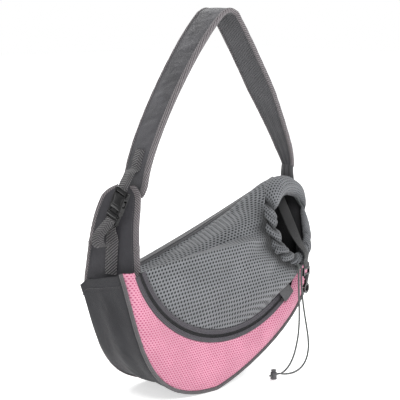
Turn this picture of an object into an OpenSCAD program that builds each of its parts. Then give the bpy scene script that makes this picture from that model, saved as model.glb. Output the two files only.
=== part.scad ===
// Single-shoulder sling carrier for a small pet: a boat-shaped fabric body with a mesh cover that
// zips open, a gathered head opening, a padded strap joined by a side-release buckle, and a tether.
// X runs along the bag towards the head opening, -Y is the front, +Z is up, in millimetres.
// The origin is on the floor, under the middle of the bag's width.

/* [Bag body] */
// X of the bag's pocket end
pocket_end_x = -250; // [-256:1:-244]
// Height of the pocket's mouth at the front seam
pocket_end_z = 245; // [240:1:250]
// X of the head-opening end
head_end_x = 224; // [220:1:230]
// X of the lowest point of the belly
keel_x = -40; // [-50:1:-30]
// Half of the bag's depth at its belly
half_depth = 66; // [62:1:70]
// Thickness of the mesh and lining of a body panel
panel_t = 3; // [2:0.5:3.5]
// Thickness of the foam pad on the cabin's floor
pad_t = 8; // [5:1:10]

/* [Cover and zip] */
// Radius of the arc that the zip follows
zip_r = 223.5; // [220:0.5:226]
// Width of one zip tape
tape_w = 6; // [5:0.5:7]

/* [Head opening] */
// Half of the opening's width
opening_rx = 51; // [48:1:52]
// Half of the opening's height
opening_rz = 57; // [54:1:58]
// Radius of the drawstring cord
cord_r = 1.3; // [1:0.1:1.4]

/* [Strap] */
// Half of the shoulder strap's width
strap_hw = 35; // [30:1:36]
// Height of the strap's crown above the floor
strap_top_z = 680; // [660:5:690]
// Width of the buckle's webbing
webbing_w = 25; // [20:1:25]
// Thickness of webbing
webbing_t = 1.8; // [1.4:0.1:2]

/* [Hardware] */
// Radius of the snap hook's round opening
hook_bore_r = 6; // [5.5:0.25:6.5]
// Thickness of the snap hook
hook_t = 5; // [4:0.5:5]

/* [Hidden] */
$fn = 48;

gap = 0.5;          // air kept between sewn layers
floor_gap = 2.5;    // height of the belly's outline above the floor, filled by the binding
keel_u = 0.45;      // where along the seam the belly is lowest
back_start = 0.06;  // where along the seam the back panel starts, lower than the front one
seam_n = 32;        // stations along a seam
zip_c = [-10, 321]; // X and Z of the zip arc's centre
zip_y = -68;        // plane of the zip's middle
zip_left = 201;     // angle of the zip's left end
zip_right = 313;    // angle of its right end
zip_split = 227;    // angle where the lifting part of the cover starts
slider_rest = 311;  // angle of the closed slider
chain_hw = 3;       // half-width of the closed zip chain
tape_in = 5.6;      // distance from the chain's middle to a tape
hem_left = [-238, 52, 196];     // left end of the hem along the back panel's top
hem_right = [203, 30, 356];     // right end of that hem
opening_c = [157, -60, 282];    // middle of the head opening
opening_n = unit([0.2, -0.93, 0.28]);
opening_h = unit(cross([0, 0, 1], opening_n));
opening_v = cross(opening_n, opening_h);
bail_z = 397;       // height of the axis that the shoulder strap folds about

// ---- vectors and curves ----
function unit(v) = v / norm(v);
function lerp(a, b, t) = a + (b - a) * t;
function clamp01(t) = min(1, max(0, t));
function bez(p, t) =
    p[0] * pow(1 - t, 3) + 3 * p[1] * pow(1 - t, 2) * t + 3 * p[2] * (1 - t) * t * t + p[3] * pow(t, 3);
// Value of a line of [key, value] pairs at t.
function table(rows, t, i = 0) =
    i >= len(rows) - 2 || t <= rows[i + 1][0]
        ? lerp(rows[i][1], rows[i + 1][1], clamp01((t - rows[i][0]) / (rows[i + 1][0] - rows[i][0])))
        : table(rows, t, i + 1);
function direction(path, i) =
    unit(path[min(i + 1, len(path) - 1)] - path[max(i - 1, 0)]);

// ---- solids from points ----
// Closed solid through rings of points; each ring has the same even number of points.
module loft(rings, closed = false) {
    n = len(rings);
    m = len(rings[0]);
    polyhedron(
        points = [for (r = rings) each r],
        faces = concat(
            [for (i = [0:n - (closed ? 1 : 2)], j = [0:m - 1])
                let (a = i * m, b = (i + 1) % n * m, k = (j + 1) % m)
                each [[a + j, b + j, b + k], [a + j, b + k, a + k]]],
            closed ? [] : [for (j = [0:m / 2 - 2])
                let (p = j + 1, q = m - 2 - j, r = m - 1 - j, e = (n - 1) * m)
                each [[j, p, q], [j, q, r], [e + q, e + p, e + j], [e + r, e + q, e + j]]]),
        convexity = 8);
}

function grid_normal(g, i, j, wrap) =
    let (n = len(g), m = len(g[0]),
         a = g[wrap ? (i + 1) % n : min(i + 1, n - 1)][j] - g[wrap ? (i + n - 1) % n : max(i - 1, 0)][j],
         b = g[i][min(j + 1, m - 1)] - g[i][max(j - 1, 0)])
    unit(cross(a, b));

// Sheet of cloth of thickness t through a grid of points; wrap joins the last row to the first.
module sheet(g, t, wrap = false) {
    m = len(g[0]);
    side = [for (s = [-t / 2, t / 2])
        [for (i = [0:len(g) - 1]) [for (j = [0:m - 1]) g[i][j] + s * grid_normal(g, i, j, wrap)]]];
    loft([for (i = [0:len(g) - 1]) concat(side[0][i], [for (j = [m - 1:-1:0]) side[1][i][j]])], wrap);
}

// Round cord along a path.
module cord(path, r, sides = 8, closed = false) {
    n = len(path);
    loft([for (i = [0:n - 1])
        let (d = closed ? unit(path[(i + 1) % n] - path[(i + n - 1) % n]) : direction(path, i),
             u = unit(cross(d, abs(d[1]) < 0.8 ? [0, 1, 0] : [1, 0, 0])), w = cross(d, u))
        [for (k = [0:sides - 1]) path[i] + r * (u * cos(k * 360 / sides) + w * sin(k * 360 / sides))]],
        closed);
}

// Flat band along a path: across gives the half-width vector at each station, from and to are the
// distances of its two faces from the path along the outward normal.
module band(path, across, from, to) {
    loft([for (i = [0:len(path) - 1])
        let (n = unit(cross(direction(path, i), across[i])))
        [path[i] - across[i] + n * from, path[i] + across[i] + n * from,
         path[i] + across[i] + n * to, path[i] - across[i] + n * to]]);
}

// ---- the bag's outline ----
seam_left = [
    [pocket_end_x, pocket_end_z], [pocket_end_x + 40, 111],
    [pocket_end_x + 43, floor_gap - 5], [keel_x, floor_gap]];
seam_right = [
    [keel_x, floor_gap], [keel_x + 73, floor_gap + 17], [head_end_x - 3, 106], [head_end_x, 195]];
function seam(u) = u < keel_u ? bez(seam_left, u / keel_u) : bez(seam_right, (u - keel_u) / (1 - keel_u));
function seam_normal(u) =
    let (d = seam(min(1, u + 0.01)) - seam(max(0, u - 0.01))) unit([d[1], -d[0]]);
function depth_at(u) = half_depth - (u < 0.5 ? 11 : 24) * pow(abs(2 * u - 1), 2.2);
function outline(u, y, out = 0) = let (p = seam(u) + out * seam_normal(u)) [p[0], y, p[1]];
function zip_point(a, off = 0, y = zip_y) =
    [zip_c[0] + (zip_r + off) * cos(a), y, zip_c[1] + (zip_r + off) * sin(a)];
function hem(v) = lerp(hem_left, hem_right, v) + [0, 0, -6 * sin(180 * v)];

// Top edge of the front panel: under the lower zip tape, then up beside the head opening.
panel_edge_off = tape_in + tape_w + 1;
side_edge = [
    zip_point(zip_right, panel_edge_off), [178, -66, 182], [200, -58, 200], [head_end_x - 8, -50, 224]];
function front_edge(u) =
    u < 0.8 ? zip_point(lerp(zip_left, zip_right, u / 0.8), panel_edge_off)
            : bez(side_edge, (u - 0.8) / 0.2);

front_grid = [for (i = [0:seam_n])
    let (u = i / seam_n, a = outline(0.02 + 0.98 * u, -depth_at(u) - gap - panel_t / 2, -1), b = front_edge(u))
    [for (j = [0:5]) lerp(a, b, j / 5) + [0, -5 * sin(36 * j), 0]]];
module front_panel() {
    color("pink") sheet(front_grid, panel_t);
}

back_grid = [for (i = [0:seam_n])
    let (u = i / seam_n, a = outline(lerp(back_start, 1, u), depth_at(u) + gap + panel_t / 2, -1), b = hem(u))
    [for (j = [0:6]) lerp(a, b, j / 6) + [0, 5 * sin(30 * j), 0]]];
module back_panel() {
    color("pink") sheet(back_grid, panel_t);
}

gusset_t = 2.5;
gusset_grid = [for (i = [0:seam_n])
    let (u = 0.1 + 0.9 * i / seam_n, y = depth_at(u) - 2.5)
    [for (j = [-2:2]) outline(u, y * j / 2, -gusset_t / 2 - 2)]];
module gusset() {
    color("dimgray") sheet(gusset_grid, gusset_t);
}

pad_grid = [for (i = [0:14])
    let (u = 0.3 + 0.4 * i / 14, y = depth_at(u) - 12)
    [for (j = [-2:2]) outline(u, y * j / 2, -pad_t / 2 - gusset_t - 4)]];
module base_pad() {
    color("gray") sheet(pad_grid, pad_t);
}

// The pocket is a second skin outside the gusset's left end. Its mouth leans down to the back.
pocket_u = 0.36;    // where along the seam the pocket's lower edge is
pocket_t = 2;
function pocket_point(s, k, out) =
    let (u = lerp(0, pocket_u, s), y = lerp(-1, 1, k) * (depth_at(u) - 2),
         mouth = (1 - s) * [-4 * k, 0, -38 * k * (1 - s)])
    outline(u, y, out + 3 * sin(180 * k) * sin(180 * min(1, s * 1.4))) + mouth;
pocket_grid = [for (i = [0:12]) [for (j = [0:6]) pocket_point(i / 12, j / 6, pocket_t / 2)]];
module end_pocket() {
    color([0.24, 0.24, 0.25]) sheet(pocket_grid, pocket_t);
}

module pocket_hem() {
    rim = [for (j = [0:6]) pocket_point(0, j / 6, pocket_t / 2) + [0, 0, 2.2]];
    color([0.2, 0.2, 0.21]) cord(rim, 1.6);
}

// Woven edging that folds around a seam between the gusset and a panel.
binding_t = 1.6;
module seam_binding(side, start) {
    lip = 4.5;
    loft([for (i = [0:seam_n])
        let (u = lerp(start, 1, i / seam_n), y = side * (depth_at(u) + gap + panel_t), out = pocket_t + 0.8)
        [outline(u, y - side * lip, out), outline(u, y + side * binding_t, out),
         outline(u, y + side * binding_t, out + binding_t), outline(u, y - side * lip, out + binding_t)]]);
}
module seam_binding_front() { color("gray") seam_binding(-1, 0); }
module seam_binding_back() { color("gray") seam_binding(1, back_start); }

hem_w = 14;
module back_hem() {
    grid = [for (i = [0:20])
        let (p = hem(i / 20) + [0, 0, panel_t / 2 + gap + 0.6])
        [p + [0, 2, 0], p + [0, -hem_w / 2, 0.6], p + [0, -hem_w, -3]]];
    color("dimgray") sheet(grid, 1.2);
}

// ---- cover ----
cover_t = 2;
cover_top_off = -tape_in - tape_w - 1;
hem_split = 0.23;   // where along the hem the lifting part of the cover starts
function hem_front(v) = hem(v) + [0, -hem_w - 3, -2.5];
module cover_left() {
    grid = [for (i = [0:5])
        let (t = i / 5, a = zip_point(lerp(zip_left + 5, zip_split - 0.8, t), cover_top_off - 0.5),
             b = hem_front(lerp(0.05, hem_split - 0.006, t)))
        [for (j = [0:5]) lerp(a, b, j / 5) + 4 * sin(36 * j) * [-0.1, -0.7, 0.7]]];
    color("gray") sheet(grid, cover_t);
}

// Outer edge of the lifting cover, as points around it, and the matching angles of the opening.
arc_n = 16;
end_n = 8;
back_n = 14;
left_n = 6;
cover_end = [
    zip_point(zip_right, cover_top_off), [184, -58, 182], [230, -36, 228], hem_front(1) - [6, 0, 2]];
cover_edge = concat(
    [for (i = [0:arc_n - 1]) zip_point(lerp(zip_split, zip_right, i / arc_n), cover_top_off)],
    [for (i = [0:end_n - 1]) bez(cover_end, i / end_n)],
    [for (i = [0:back_n - 1]) hem_front(lerp(1, hem_split, i / back_n))],
    [for (i = [0:left_n - 1]) lerp(hem_front(hem_split), zip_point(zip_split, cover_top_off), i / left_n)]);
edge_n = len(cover_edge);
edge_angles = [
    [0, 194], [arc_n / 2, 222], [arc_n, 280], [arc_n + end_n / 2, 345], [arc_n + end_n, 425],
    [arc_n + end_n + back_n / 2, 500], [arc_n + end_n + back_n, 538], [edge_n, 554]];
function roll_r(a) = 11.5 + 6 * pow(max(0, sin(a)), 2) - 3.5 * cos(a);
function ring(a, out = 0, back = 0) =
    opening_c + opening_h * (opening_rx + roll_r(a) + out) * cos(a)
    + opening_v * (opening_rz + roll_r(a) + out) * sin(a) - opening_n * back;
cover_grid = [for (i = [0:edge_n - 1])
    let (a = table(edge_angles, i), o = cover_edge[i], q = ring(a, 0, roll_r(a) + 4.5), far = norm(o - q))
    [for (j = [0:8]) let (k = j / 8)
        lerp(o, q, k) + sin(180 * k) * (3 + 0.12 * far) * unit([-0.1, -0.75, 0.65])]];
module mesh_cover() {
    color("gray") sheet(cover_grid, cover_t, true);
}

// Rolled casing of the head opening, open along its front like a letter C so that the cord can leave.
casing_t = 1.5;
module hood_collar() {
    grid = [for (i = [0:39])
        let (a = i * 9, r = roll_r(a) - casing_t / 2, c = ring(a),
             out = unit(opening_h * cos(a) + opening_v * sin(a)))
        [for (j = [0:10]) let (b = 35 + 29 * j) c + r * (opening_n * cos(b) + out * sin(b))]];
    color("gray") sheet(grid, casing_t, true);
}

module drawstring_loop() {
    color("dimgray") cord([for (i = [0:35]) ring(lerp(-60, 290, i / 35))], cord_r, 6);
}

// Flap of cloth that covers the closed slider, sewn to the cover along its upper edge.
tab_hw = 13;
tab_span = [-16, 8];    // reach of the flap above and below the middle of the zip
module zip_end_tab() {
    grid = [for (i = [-2:2]) [for (j = [0:4])
        [lerp(tab_span[0], tab_span[1], j / 4), -8.2 - 1.2 * cos(i * 40), i * tab_hw / 2]]];
    color("dimgray") at_zip(slider_rest - 1.5) sheet(grid, 1.2);
}

// Band that follows the zip arc, between two distances from the arc and two depths.
module zip_band(r_in, r_out, y_front, y_back, a0, a1) {
    translate([zip_c[0], 0, zip_c[1]]) rotate([90, 0, 0]) rotate([0, 0, a0])
        rotate_extrude(angle = a1 - a0, $fn = 96)
        translate([zip_r + r_in, -y_back]) square([r_out - r_in, y_back - y_front]);
}
tape_front = zip_y - 0.6;
tape_back = zip_y + 0.6;
module zip_tape_lower() {
    color("dimgray") zip_band(tape_in, tape_in + tape_w, tape_front, tape_back, zip_left, zip_right);
}
module zip_tape_left() {
    color("dimgray")
        zip_band(-tape_in - tape_w, -tape_in, tape_front, tape_back, zip_left, zip_split - 0.8);
}
module zip_tape_upper() {
    color("dimgray") zip_band(-tape_in - tape_w, -tape_in, tape_front, tape_back, zip_split, zip_right);
}
module zip_chain() {
    color("black") zip_band(-chain_hw, chain_hw, zip_y - 1.1, zip_y + 1.1, zip_left, zip_right);
}

// Puts a part drawn around the arc's radius line at an angle along the zip.
module at_zip(a) {
    translate([zip_c[0], zip_y, zip_c[1]]) rotate([0, -a, 0]) translate([zip_r, 0, 0]) children();
}
slider_hw = 4.9;
slider_len = 13;
slider_wall = 1.2;
chain_room = 1.7;   // half of the slider's inner height
bail_r = 1.6;
module zip_slider() {
    lug_y = -chain_room - slider_wall;
    color("black") at_zip(slider_rest) {
        difference() {
            translate([-slider_hw, lug_y, -slider_len / 2])
                cube([2 * slider_hw, 2 * -lug_y, slider_len]);
            translate([-chain_hw - 0.7, -chain_room, -slider_len])
                cube([2 * chain_hw + 1.4, 2 * chain_room, 2 * slider_len]);
        }
        difference() {
            translate([-1, lug_y - 4.5, -4]) cube([2, 4.5 + 0.2, 8]);
            translate([-2, lug_y - 2.2, 0]) rotate([0, 90, 0]) cylinder(r = bail_r, h = 4);
        }
    }
}
pull_len = 18;
module zip_pull() {
    y0 = -chain_room - slider_wall - 2.2;
    color("black") at_zip(slider_rest) mirror([0, 0, 1]) {
        translate([-3.4, y0, 0]) rotate([0, 90, 0]) cylinder(r = bail_r - 0.06, h = 6.8);
        for (x = [-3.4, 1.4]) translate([x, y0 - 1.2, 0]) cube([2, 2.2, 8]);
        difference() {
            translate([-4, y0 - 1.2, 7]) cube([8, 2.2, pull_len - 7]);
            translate([0, y0 - 3, pull_len - 4]) rotate([-90, 0, 0]) cylinder(r = 1.8, h = 6);
        }
    }
}

// ---- lower strap panel, webbing and buckle ----
panel_path = [[-226, 5, 222], [-220, 5, 278], [-223, 7, 339], [-188, 7.5, 383]];
panel_n = 16;
function panel_hw(t) =
    lerp(57, 34, t) * (t < 0.84 ? 1 : max(0.5, sqrt(1 - pow((t - 0.84) / 0.17, 2))));
function panel_dir(t) = let (a = lerp(15, 25, t)) [sin(a), -cos(a), 0];
stations = [for (i = [0:panel_n]) i / panel_n];
panel_line = [for (t = stations) bez(panel_path, t)];
module panel_layer(inset, from, to) {
    band(panel_line, [for (t = stations) panel_dir(t) * (panel_hw(t) - inset)], from, to);
}
module strap_panel() { color([0.28, 0.28, 0.3]) panel_layer(6, -1.6, 1.6); }
module strap_panel_lining() { color("gray") panel_layer(6, 2.1, 3.3); }
module panel_binding(side) {
    edge = [for (t = stations) bez(panel_path, t) + side * panel_dir(t) * (panel_hw(t) - 2.6)];
    band(edge, [for (t = stations) panel_dir(t) * 2.8], -2, 3.4);
}
module strap_panel_binding_front() { color("gray") panel_binding(1); }
module strap_panel_binding_back() { color("gray") panel_binding(-1); }

buckle_o = [-221.5, -11, 352];  // middle of the joined buckle
buckle_tilt = 14;
buckle_lean = 16;               // the buckle hangs askew, its upper end towards the front
module at_buckle() {
    translate(buckle_o) rotate([0, buckle_tilt, 0]) rotate([buckle_lean, 0, 0]) children();
}
function on_buckle(x, y, z) =
    let (b = y * cos(buckle_lean) - z * sin(buckle_lean), c = y * sin(buckle_lean) + z * cos(buckle_lean))
    buckle_o + [x * cos(buckle_tilt) + c * sin(buckle_tilt), b, c * cos(buckle_tilt) - x * sin(buckle_tilt)];
buckle_w = 32;
buckle_t = 9;
socket_top = 30;
socket_mouth = -5;
slot_w = webbing_w + 1.5;
module buckle_socket() {
    wall = 1.6;
    color([0.15, 0.15, 0.15]) at_buckle() difference() {
        translate([-buckle_t / 2, -buckle_w / 2, socket_mouth])
            cube([buckle_t, buckle_w, socket_top - socket_mouth]);
        translate([-buckle_t / 2 + wall, -buckle_w / 2 + 2.5, socket_mouth - 1])
            cube([buckle_t - 2 * wall, buckle_w - 5, 23]);
        // Side windows that the prongs' tips show in
        translate([-buckle_t / 2 + wall, -buckle_w / 2 - 1, 3]) cube([buckle_t - 2 * wall, buckle_w + 2, 13]);
        // Slot under the bar that carries the upper webbing
        translate([-buckle_t, -slot_w / 2, 22]) cube([2 * buckle_t, slot_w, 4]);
    }
}
prong_root_z = -7.5;
prong_y = 9.5;
prong_pin_r = 1.5;
module buckle_plug() {
    bar = 3.2;
    color([0.15, 0.15, 0.15]) at_buckle() {
        difference() {
            translate([-buckle_t / 2, -buckle_w / 2, -11]) cube([buckle_t, buckle_w, 11 + socket_mouth - gap]);
            for (s = [-1, 1]) translate([-buckle_t, s * prong_y, prong_root_z]) {
                rotate([0, 90, 0]) cylinder(r = prong_pin_r + 0.05, h = 2 * buckle_t);
                translate([0, -1.45, 0]) cube([2 * buckle_t, 2.9, 6]);
            }
        }
        // Middle tongue that guides the plug into the socket
        translate([-1.6, -2.5, -6]) cube([3.2, 5, 22]);
        // Ladder bars that grip the adjustable webbing
        difference() {
            translate([-3, -buckle_w / 2, -30]) cube([6, buckle_w, 20]);
            for (z = [-27, -18.5]) translate([-5, -slot_w / 2, z]) cube([10, slot_w, 8.5 - bar]);
        }
    }
}
module prong(side) {
    color([0.15, 0.15, 0.15]) at_buckle() {
        translate([-2.4, side * prong_y, prong_root_z]) rotate([0, 90, 0])
            cylinder(r = prong_pin_r, h = 4.8);
        translate([-2.4, side * prong_y - 1, prong_root_z]) cube([4.8, 2, 18]);
        translate([-2.4, side > 0 ? prong_y - 1 : -15, 5]) cube([4.8, 15 - prong_y + 1, 7.5]);
    }
}
module prong_left() { prong(-1); }
module prong_right() { prong(1); }

module anchor_webbing() {
    path = concat(
        [for (i = [0:7]) let (t = 0.06 + 0.05 * i) bez(panel_path, t) + [-4.4, -5.3, 0]],
        [on_buckle(2.6, 0, -37) + [0, -1, 0], on_buckle(4.2, 0, -29.5)]);
    across = [for (i = [0:7]) panel_dir(0.06 + 0.05 * i)];
    level = on_buckle(0, -1, 0) - buckle_o;
    color([0.5, 0.5, 0.5])
        band(path, [for (a = concat(across, [level, level])) a * webbing_w / 2],
            -webbing_t / 2, webbing_t / 2);
}
module webbing_tail() {
    path = [
        on_buckle(-4.2, 0, -29), [-239, 1, 317], [-246, 5, 308], [-250, 8, 298],
        [-249.5, 8, 288], [-244, 5, 282], [-238, 2, 284]];
    color([0.5, 0.5, 0.5])
        band(path, [for (i = [0:6]) unit([0.12 * i, 1, 0]) * webbing_w / 2], -webbing_t / 2, webbing_t / 2);
}
// Elastic keeper across the strap panel's inner side, folded over both of its edges.
module keeper_band() {
    t0 = 0.34;
    half_h = 5;
    keeper_t = 1.3;
    lip = 5;        // how far a folded end reaches in over the front of a binding
    d = panel_dir(t0);
    n = unit(cross([0, 0, 1], d));
    c = bez(panel_path, t0);
    side = panel_hw(t0) + 1.3;
    inner = 4.4;    // beyond the bindings' inner faces
    outer = -3.3;   // beyond their outer faces
    // Corners of the folded strip's outline: x along the panel's width, y along its normal
    outline = [
        [side - lip, outer], [side, outer], [side, inner], [-side, inner], [-side, outer], [lip - side, outer],
        [lip - side, outer - keeper_t], [-side - keeper_t, outer - keeper_t],
        [-side - keeper_t, inner + keeper_t], [side + keeper_t, inner + keeper_t],
        [side + keeper_t, outer - keeper_t], [side - lip, outer - keeper_t]];
    color("gray") loft([for (z = [half_h, -half_h]) [for (p = outline) c + d * p[0] + n * p[1] + [0, 0, z]]]);
}

// ---- shoulder strap ----
strap_left = [[-171, 366], [-186, 432], [-48, strap_top_z - 44], [8, strap_top_z]];
strap_right = [[40, strap_top_z], [81, strap_top_z - 52], [219, 424], [221, 382]];
leg_n = 14;
strap_line = concat(
    [for (i = [0:leg_n]) let (p = bez(strap_left, i / leg_n)) [p[0], 0, p[1]]],
    [[24, 0, strap_top_z + 6]],
    [for (i = [0:leg_n]) let (p = bez(strap_right, i / leg_n)) [p[0], 0, p[1]]]);
strap_last = len(strap_line) - 1;
// Half-width along the strap: its left end is round about the folding axis, and its right end is
// gathered.
function strap_half(i) =
    let (drop = bail_z - strap_line[i][2])
    i < leg_n && drop > 0
        ? min(strap_hw, sqrt(pow(strap_hw + 1, 2) - drop * drop))
        : table([[0, strap_hw], [strap_last - 8, strap_hw], [strap_last - 2, 20], [strap_last, 12]], i);
function strap_dir(i) =
    let (a = table([[0, -6], [8, -4], [leg_n, 0], [strap_last, 0]], i)) [-sin(a), cos(a), 0];
module strap_layer(inset, from, to) {
    band(strap_line, [for (i = [0:strap_last]) strap_dir(i) * (strap_half(i) - inset)], from, to);
}
module strap_outer() { color([0.4, 0.4, 0.42]) strap_layer(5, 2.4, 3.6); }
module strap_foam() { color("white") strap_layer(6, -2, 2); }
module strap_lining() { color("gray") strap_layer(5, -3.6, -2.4); }
module strap_binding(side) {
    edge = [for (i = [0:strap_last]) strap_line[i] + side * strap_dir(i) * (strap_half(i) - 2.2)];
    band(edge, [for (i = [0:strap_last]) strap_dir(i) * 2.3], -4, 4);
}
module strap_binding_front() { color("gray") strap_binding(-1); }
module strap_binding_back() { color("gray") strap_binding(1); }
module upper_webbing() {
    sewn = [for (t = [0.26, 0.21, 0.16]) let (p = bez(strap_left, t)) [p[0] - 5.5, 0, p[1] + 1.6]];
    free = [[-186, -2, 407], [-197, -7, bail_z], [-202.5, -10, bail_z - 5], [-205.5, -12, bail_z - 9]];
    narrow = [1, 1, 1, 1, 1, 0.88, 0.5];
    color([0.5, 0.5, 0.5])
        band(concat(sewn, free), [for (k = narrow) [0, k * webbing_w / 2, 0]],
            -webbing_t / 2, webbing_t / 2);
}

// The strap's fixed root climbs from the gusset's end, behind the head opening.
module right_strap_root() {
    root = [[head_end_x, 0, 193], [head_end_x + 4, 0, 250], [224, 4, 310], [221, 2, 366]];
    path = [for (i = [0:12]) bez(root, i / 12) + [0, 0, 4]];
    color("dimgray")
        band(path, [for (i = [0:12]) [0, lerp(depth_at(1) - 4, 16, pow(i / 12, 0.7)), 0]], -3.5, 0);
}

// ---- tether and snap hook ----
tether_w = 19;
rim = [166, -93.5, 211];    // where the tether leaves the collar
hook_turn = 18;
tether_across = [cos(hook_turn), sin(hook_turn), 0] * tether_w / 2;
module tether_anchor() {
    path = [
        [118, -22, 326], [134, -46, 282], [149, -66, 244], [157, -77, 232.5], [162, -87, 230],
        [165, -92.6, 222], rim + [0, 0, 4]];
    color([0.1, 0.1, 0.1]) band(path, [for (p = path) tether_across], -0.8, 0.8);
}
module at_hook() {
    translate([rim[0] + 1, rim[1] - 1, 0]) rotate([0, 0, hook_turn]) children();
}
eye_top = 201;
swivel_z = 184;
module tether_webbing() {
    path = [rim + [0, 0, 2.5], rim + [0.5, -0.5, -3], [rim[0] + 1, rim[1] - 1, eye_top + 0.9]];
    color([0.1, 0.1, 0.1]) band(path, [for (p = path) tether_across], -0.8, 0.8);
}
module hook_eye() {
    color([0.12, 0.12, 0.12]) at_hook() {
        difference() {
            translate([-13, -2, swivel_z + 2]) cube([26, 4, eye_top - swivel_z - 2]);
            translate([-10, -3, swivel_z + 6]) cube([20, 6, eye_top - swivel_z - 9]);
        }
        difference() {
            translate([0, 0, swivel_z - 4]) cylinder(r = 4.6, h = 6.5);
            translate([0, 0, swivel_z - 5]) cylinder(r = 2.25, h = 5);
            translate([0, 0, swivel_z - 0.2]) cylinder(r = 3.6, h = 2.2);
        }
    }
}
hook_c = 161;       // height of the middle of the hook's opening
hook_rim = 4;
gate_pin_r = 1;
gate_pin = [-hook_bore_r - 2.2, hook_c + 4.8];
module hook_body() {
    color([0.12, 0.12, 0.12]) at_hook() {
        difference() {
            union() {
                rotate([90, 0, 0]) translate([0, hook_c, -hook_t / 2])
                    cylinder(r = hook_bore_r + hook_rim, h = hook_t);
                translate([-3, -hook_t / 2, hook_c + hook_bore_r + 1]) cube([6, hook_t, 9]);
            }
            rotate([90, 0, 0]) translate([0, hook_c, -hook_t]) cylinder(r = hook_bore_r, h = 2 * hook_t);
            // Mouth that the gate closes
            translate([-hook_bore_r - hook_rim - 2, -hook_t, hook_c - 3.2])
                cube([hook_rim + 6, 2 * hook_t, 6.4]);
            rotate([90, 0, 0]) translate([gate_pin[0], gate_pin[1], -hook_t])
                cylinder(r = gate_pin_r + 0.05, h = 2 * hook_t);
            translate([-hook_bore_r - hook_rim - 2, -1.3, hook_c - 3.2]) cube([hook_rim + 1.5, 2.6, 12]);
        }
        translate([0, 0, hook_c + hook_bore_r + 9]) cylinder(r = 2.2, h = swivel_z - hook_c - hook_bore_r - 8.2);
        translate([0, 0, swivel_z]) cylinder(r = 3.4, h = 1.6);
    }
}
module hook_gate() {
    color([0.3, 0.3, 0.3]) at_hook() {
        rotate([90, 0, 0]) translate([gate_pin[0], gate_pin[1], -hook_t / 2])
            cylinder(r = gate_pin_r, h = hook_t);
        translate([gate_pin[0] - 1, -1, hook_c - 2.8]) cube([2, 2, gate_pin[1] - hook_c + 2.8]);
        translate([gate_pin[0] - 1.4, -hook_t / 2 + 0.3, hook_c - 2.9]) cube([2.8, hook_t - 0.6, 4.1]);
    }
}

// ---- drawstring tail and cord lock ----
lock_c = [76, -100, 8.5];
lock_r = 6;
cord_exit = [145, -96, 206];
// Two strands hang from the collar, cross near the floor and run into the lock side by side.
strand_a = [[[0, -1, -1], [-4, -1, -62], [8, -1, -110], [-4, -1, -150]],
            [[-4, -1, -150], [-12, -1, -182], [-33, -3, -203], [-62, -4, -198]]];
strand_b = [[[4, -3, -2], [4, -3, -85], [32, 0, -128], [30, 0, -165]],
            [[30, 0, -165], [25, -2, -204], [-15, -6, -212], [-62, -4, -195]]];
function strand(s) = concat(
    [for (i = [0:13]) cord_exit + bez(s[0], i / 14)],
    [for (i = [0:14]) cord_exit + bez(s[1], i / 14)]);
module drawstring_tail() {
    hole = [lock_c[0] + 12, lock_c[1], lock_c[2]];
    color("dimgray") for (s = [[strand_a, 1.45], [strand_b, -1.45]]) {
        run = concat(
            [for (p = strand(s[0])) if (p[0] > hole[0] + 4 || p[2] > 40) p],
            [for (x = [2, -10, -18, -22]) hole + [x, s[1], 0]]);
        cord(run, cord_r, 6);
    }
}
spring_r = 2.6;
barrel_h = 13;
module cord_lock_barrel() {
    color([0.35, 0.35, 0.36]) translate([lock_c[0], lock_c[1], lock_c[2] - 7.5]) difference() {
        cylinder(r = lock_r, h = barrel_h);
        translate([0, 0, 1.5]) cylinder(r = 4.1, h = barrel_h);
        translate([-10, -3.1, 5.9]) cube([20, 6.2, 3.2]);
    }
}
module cord_lock_plunger() {
    color([0.4, 0.4, 0.41]) translate([lock_c[0], lock_c[1], lock_c[2] - 7.5]) {
        difference() {
            translate([0, 0, 5]) cylinder(r = 4.05, h = 11);
            translate([-10, -3.1, 5.9]) cube([20, 6.2, 6.4]);
        }
        translate([0, 0, 16]) cylinder(r = 5, h = 1.8);
    }
}
module cord_lock_spring() {
    color("silver") translate([lock_c[0], lock_c[1], lock_c[2] - 5.9])
        cord([for (i = [0:30]) [spring_r * cos(i * 36), spring_r * sin(i * 36), 0.5 + i * 0.075]], 0.35, 6);
}

front_panel();
back_panel();
gusset();
base_pad();
end_pocket();
pocket_hem();
seam_binding_front();
seam_binding_back();
back_hem();
cover_left();
zip_tape_lower();
zip_tape_left();
zip_chain();
strap_panel();
strap_panel_lining();
strap_panel_binding_front();
strap_panel_binding_back();
anchor_webbing();
webbing_tail();
keeper_band();
right_strap_root();
buckle_socket();
buckle_plug();
prong_left();
prong_right();
mesh_cover();
zip_tape_upper();
hood_collar();
zip_end_tab();
drawstring_loop();
tether_anchor();
zip_slider();
zip_pull();
strap_outer();
strap_foam();
strap_lining();
strap_binding_front();
strap_binding_back();
upper_webbing();
tether_webbing();
hook_eye();
hook_body();
hook_gate();
drawstring_tail();
cord_lock_barrel();
cord_lock_plunger();
cord_lock_spring();
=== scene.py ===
"""Looks for the pet carrier bag: cloth, trims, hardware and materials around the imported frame.

Sizes and places are millimetres until a mesh is made, in the frame's own axes: X along the bag, -Y the
front, Z up.
"""

import math

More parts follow.
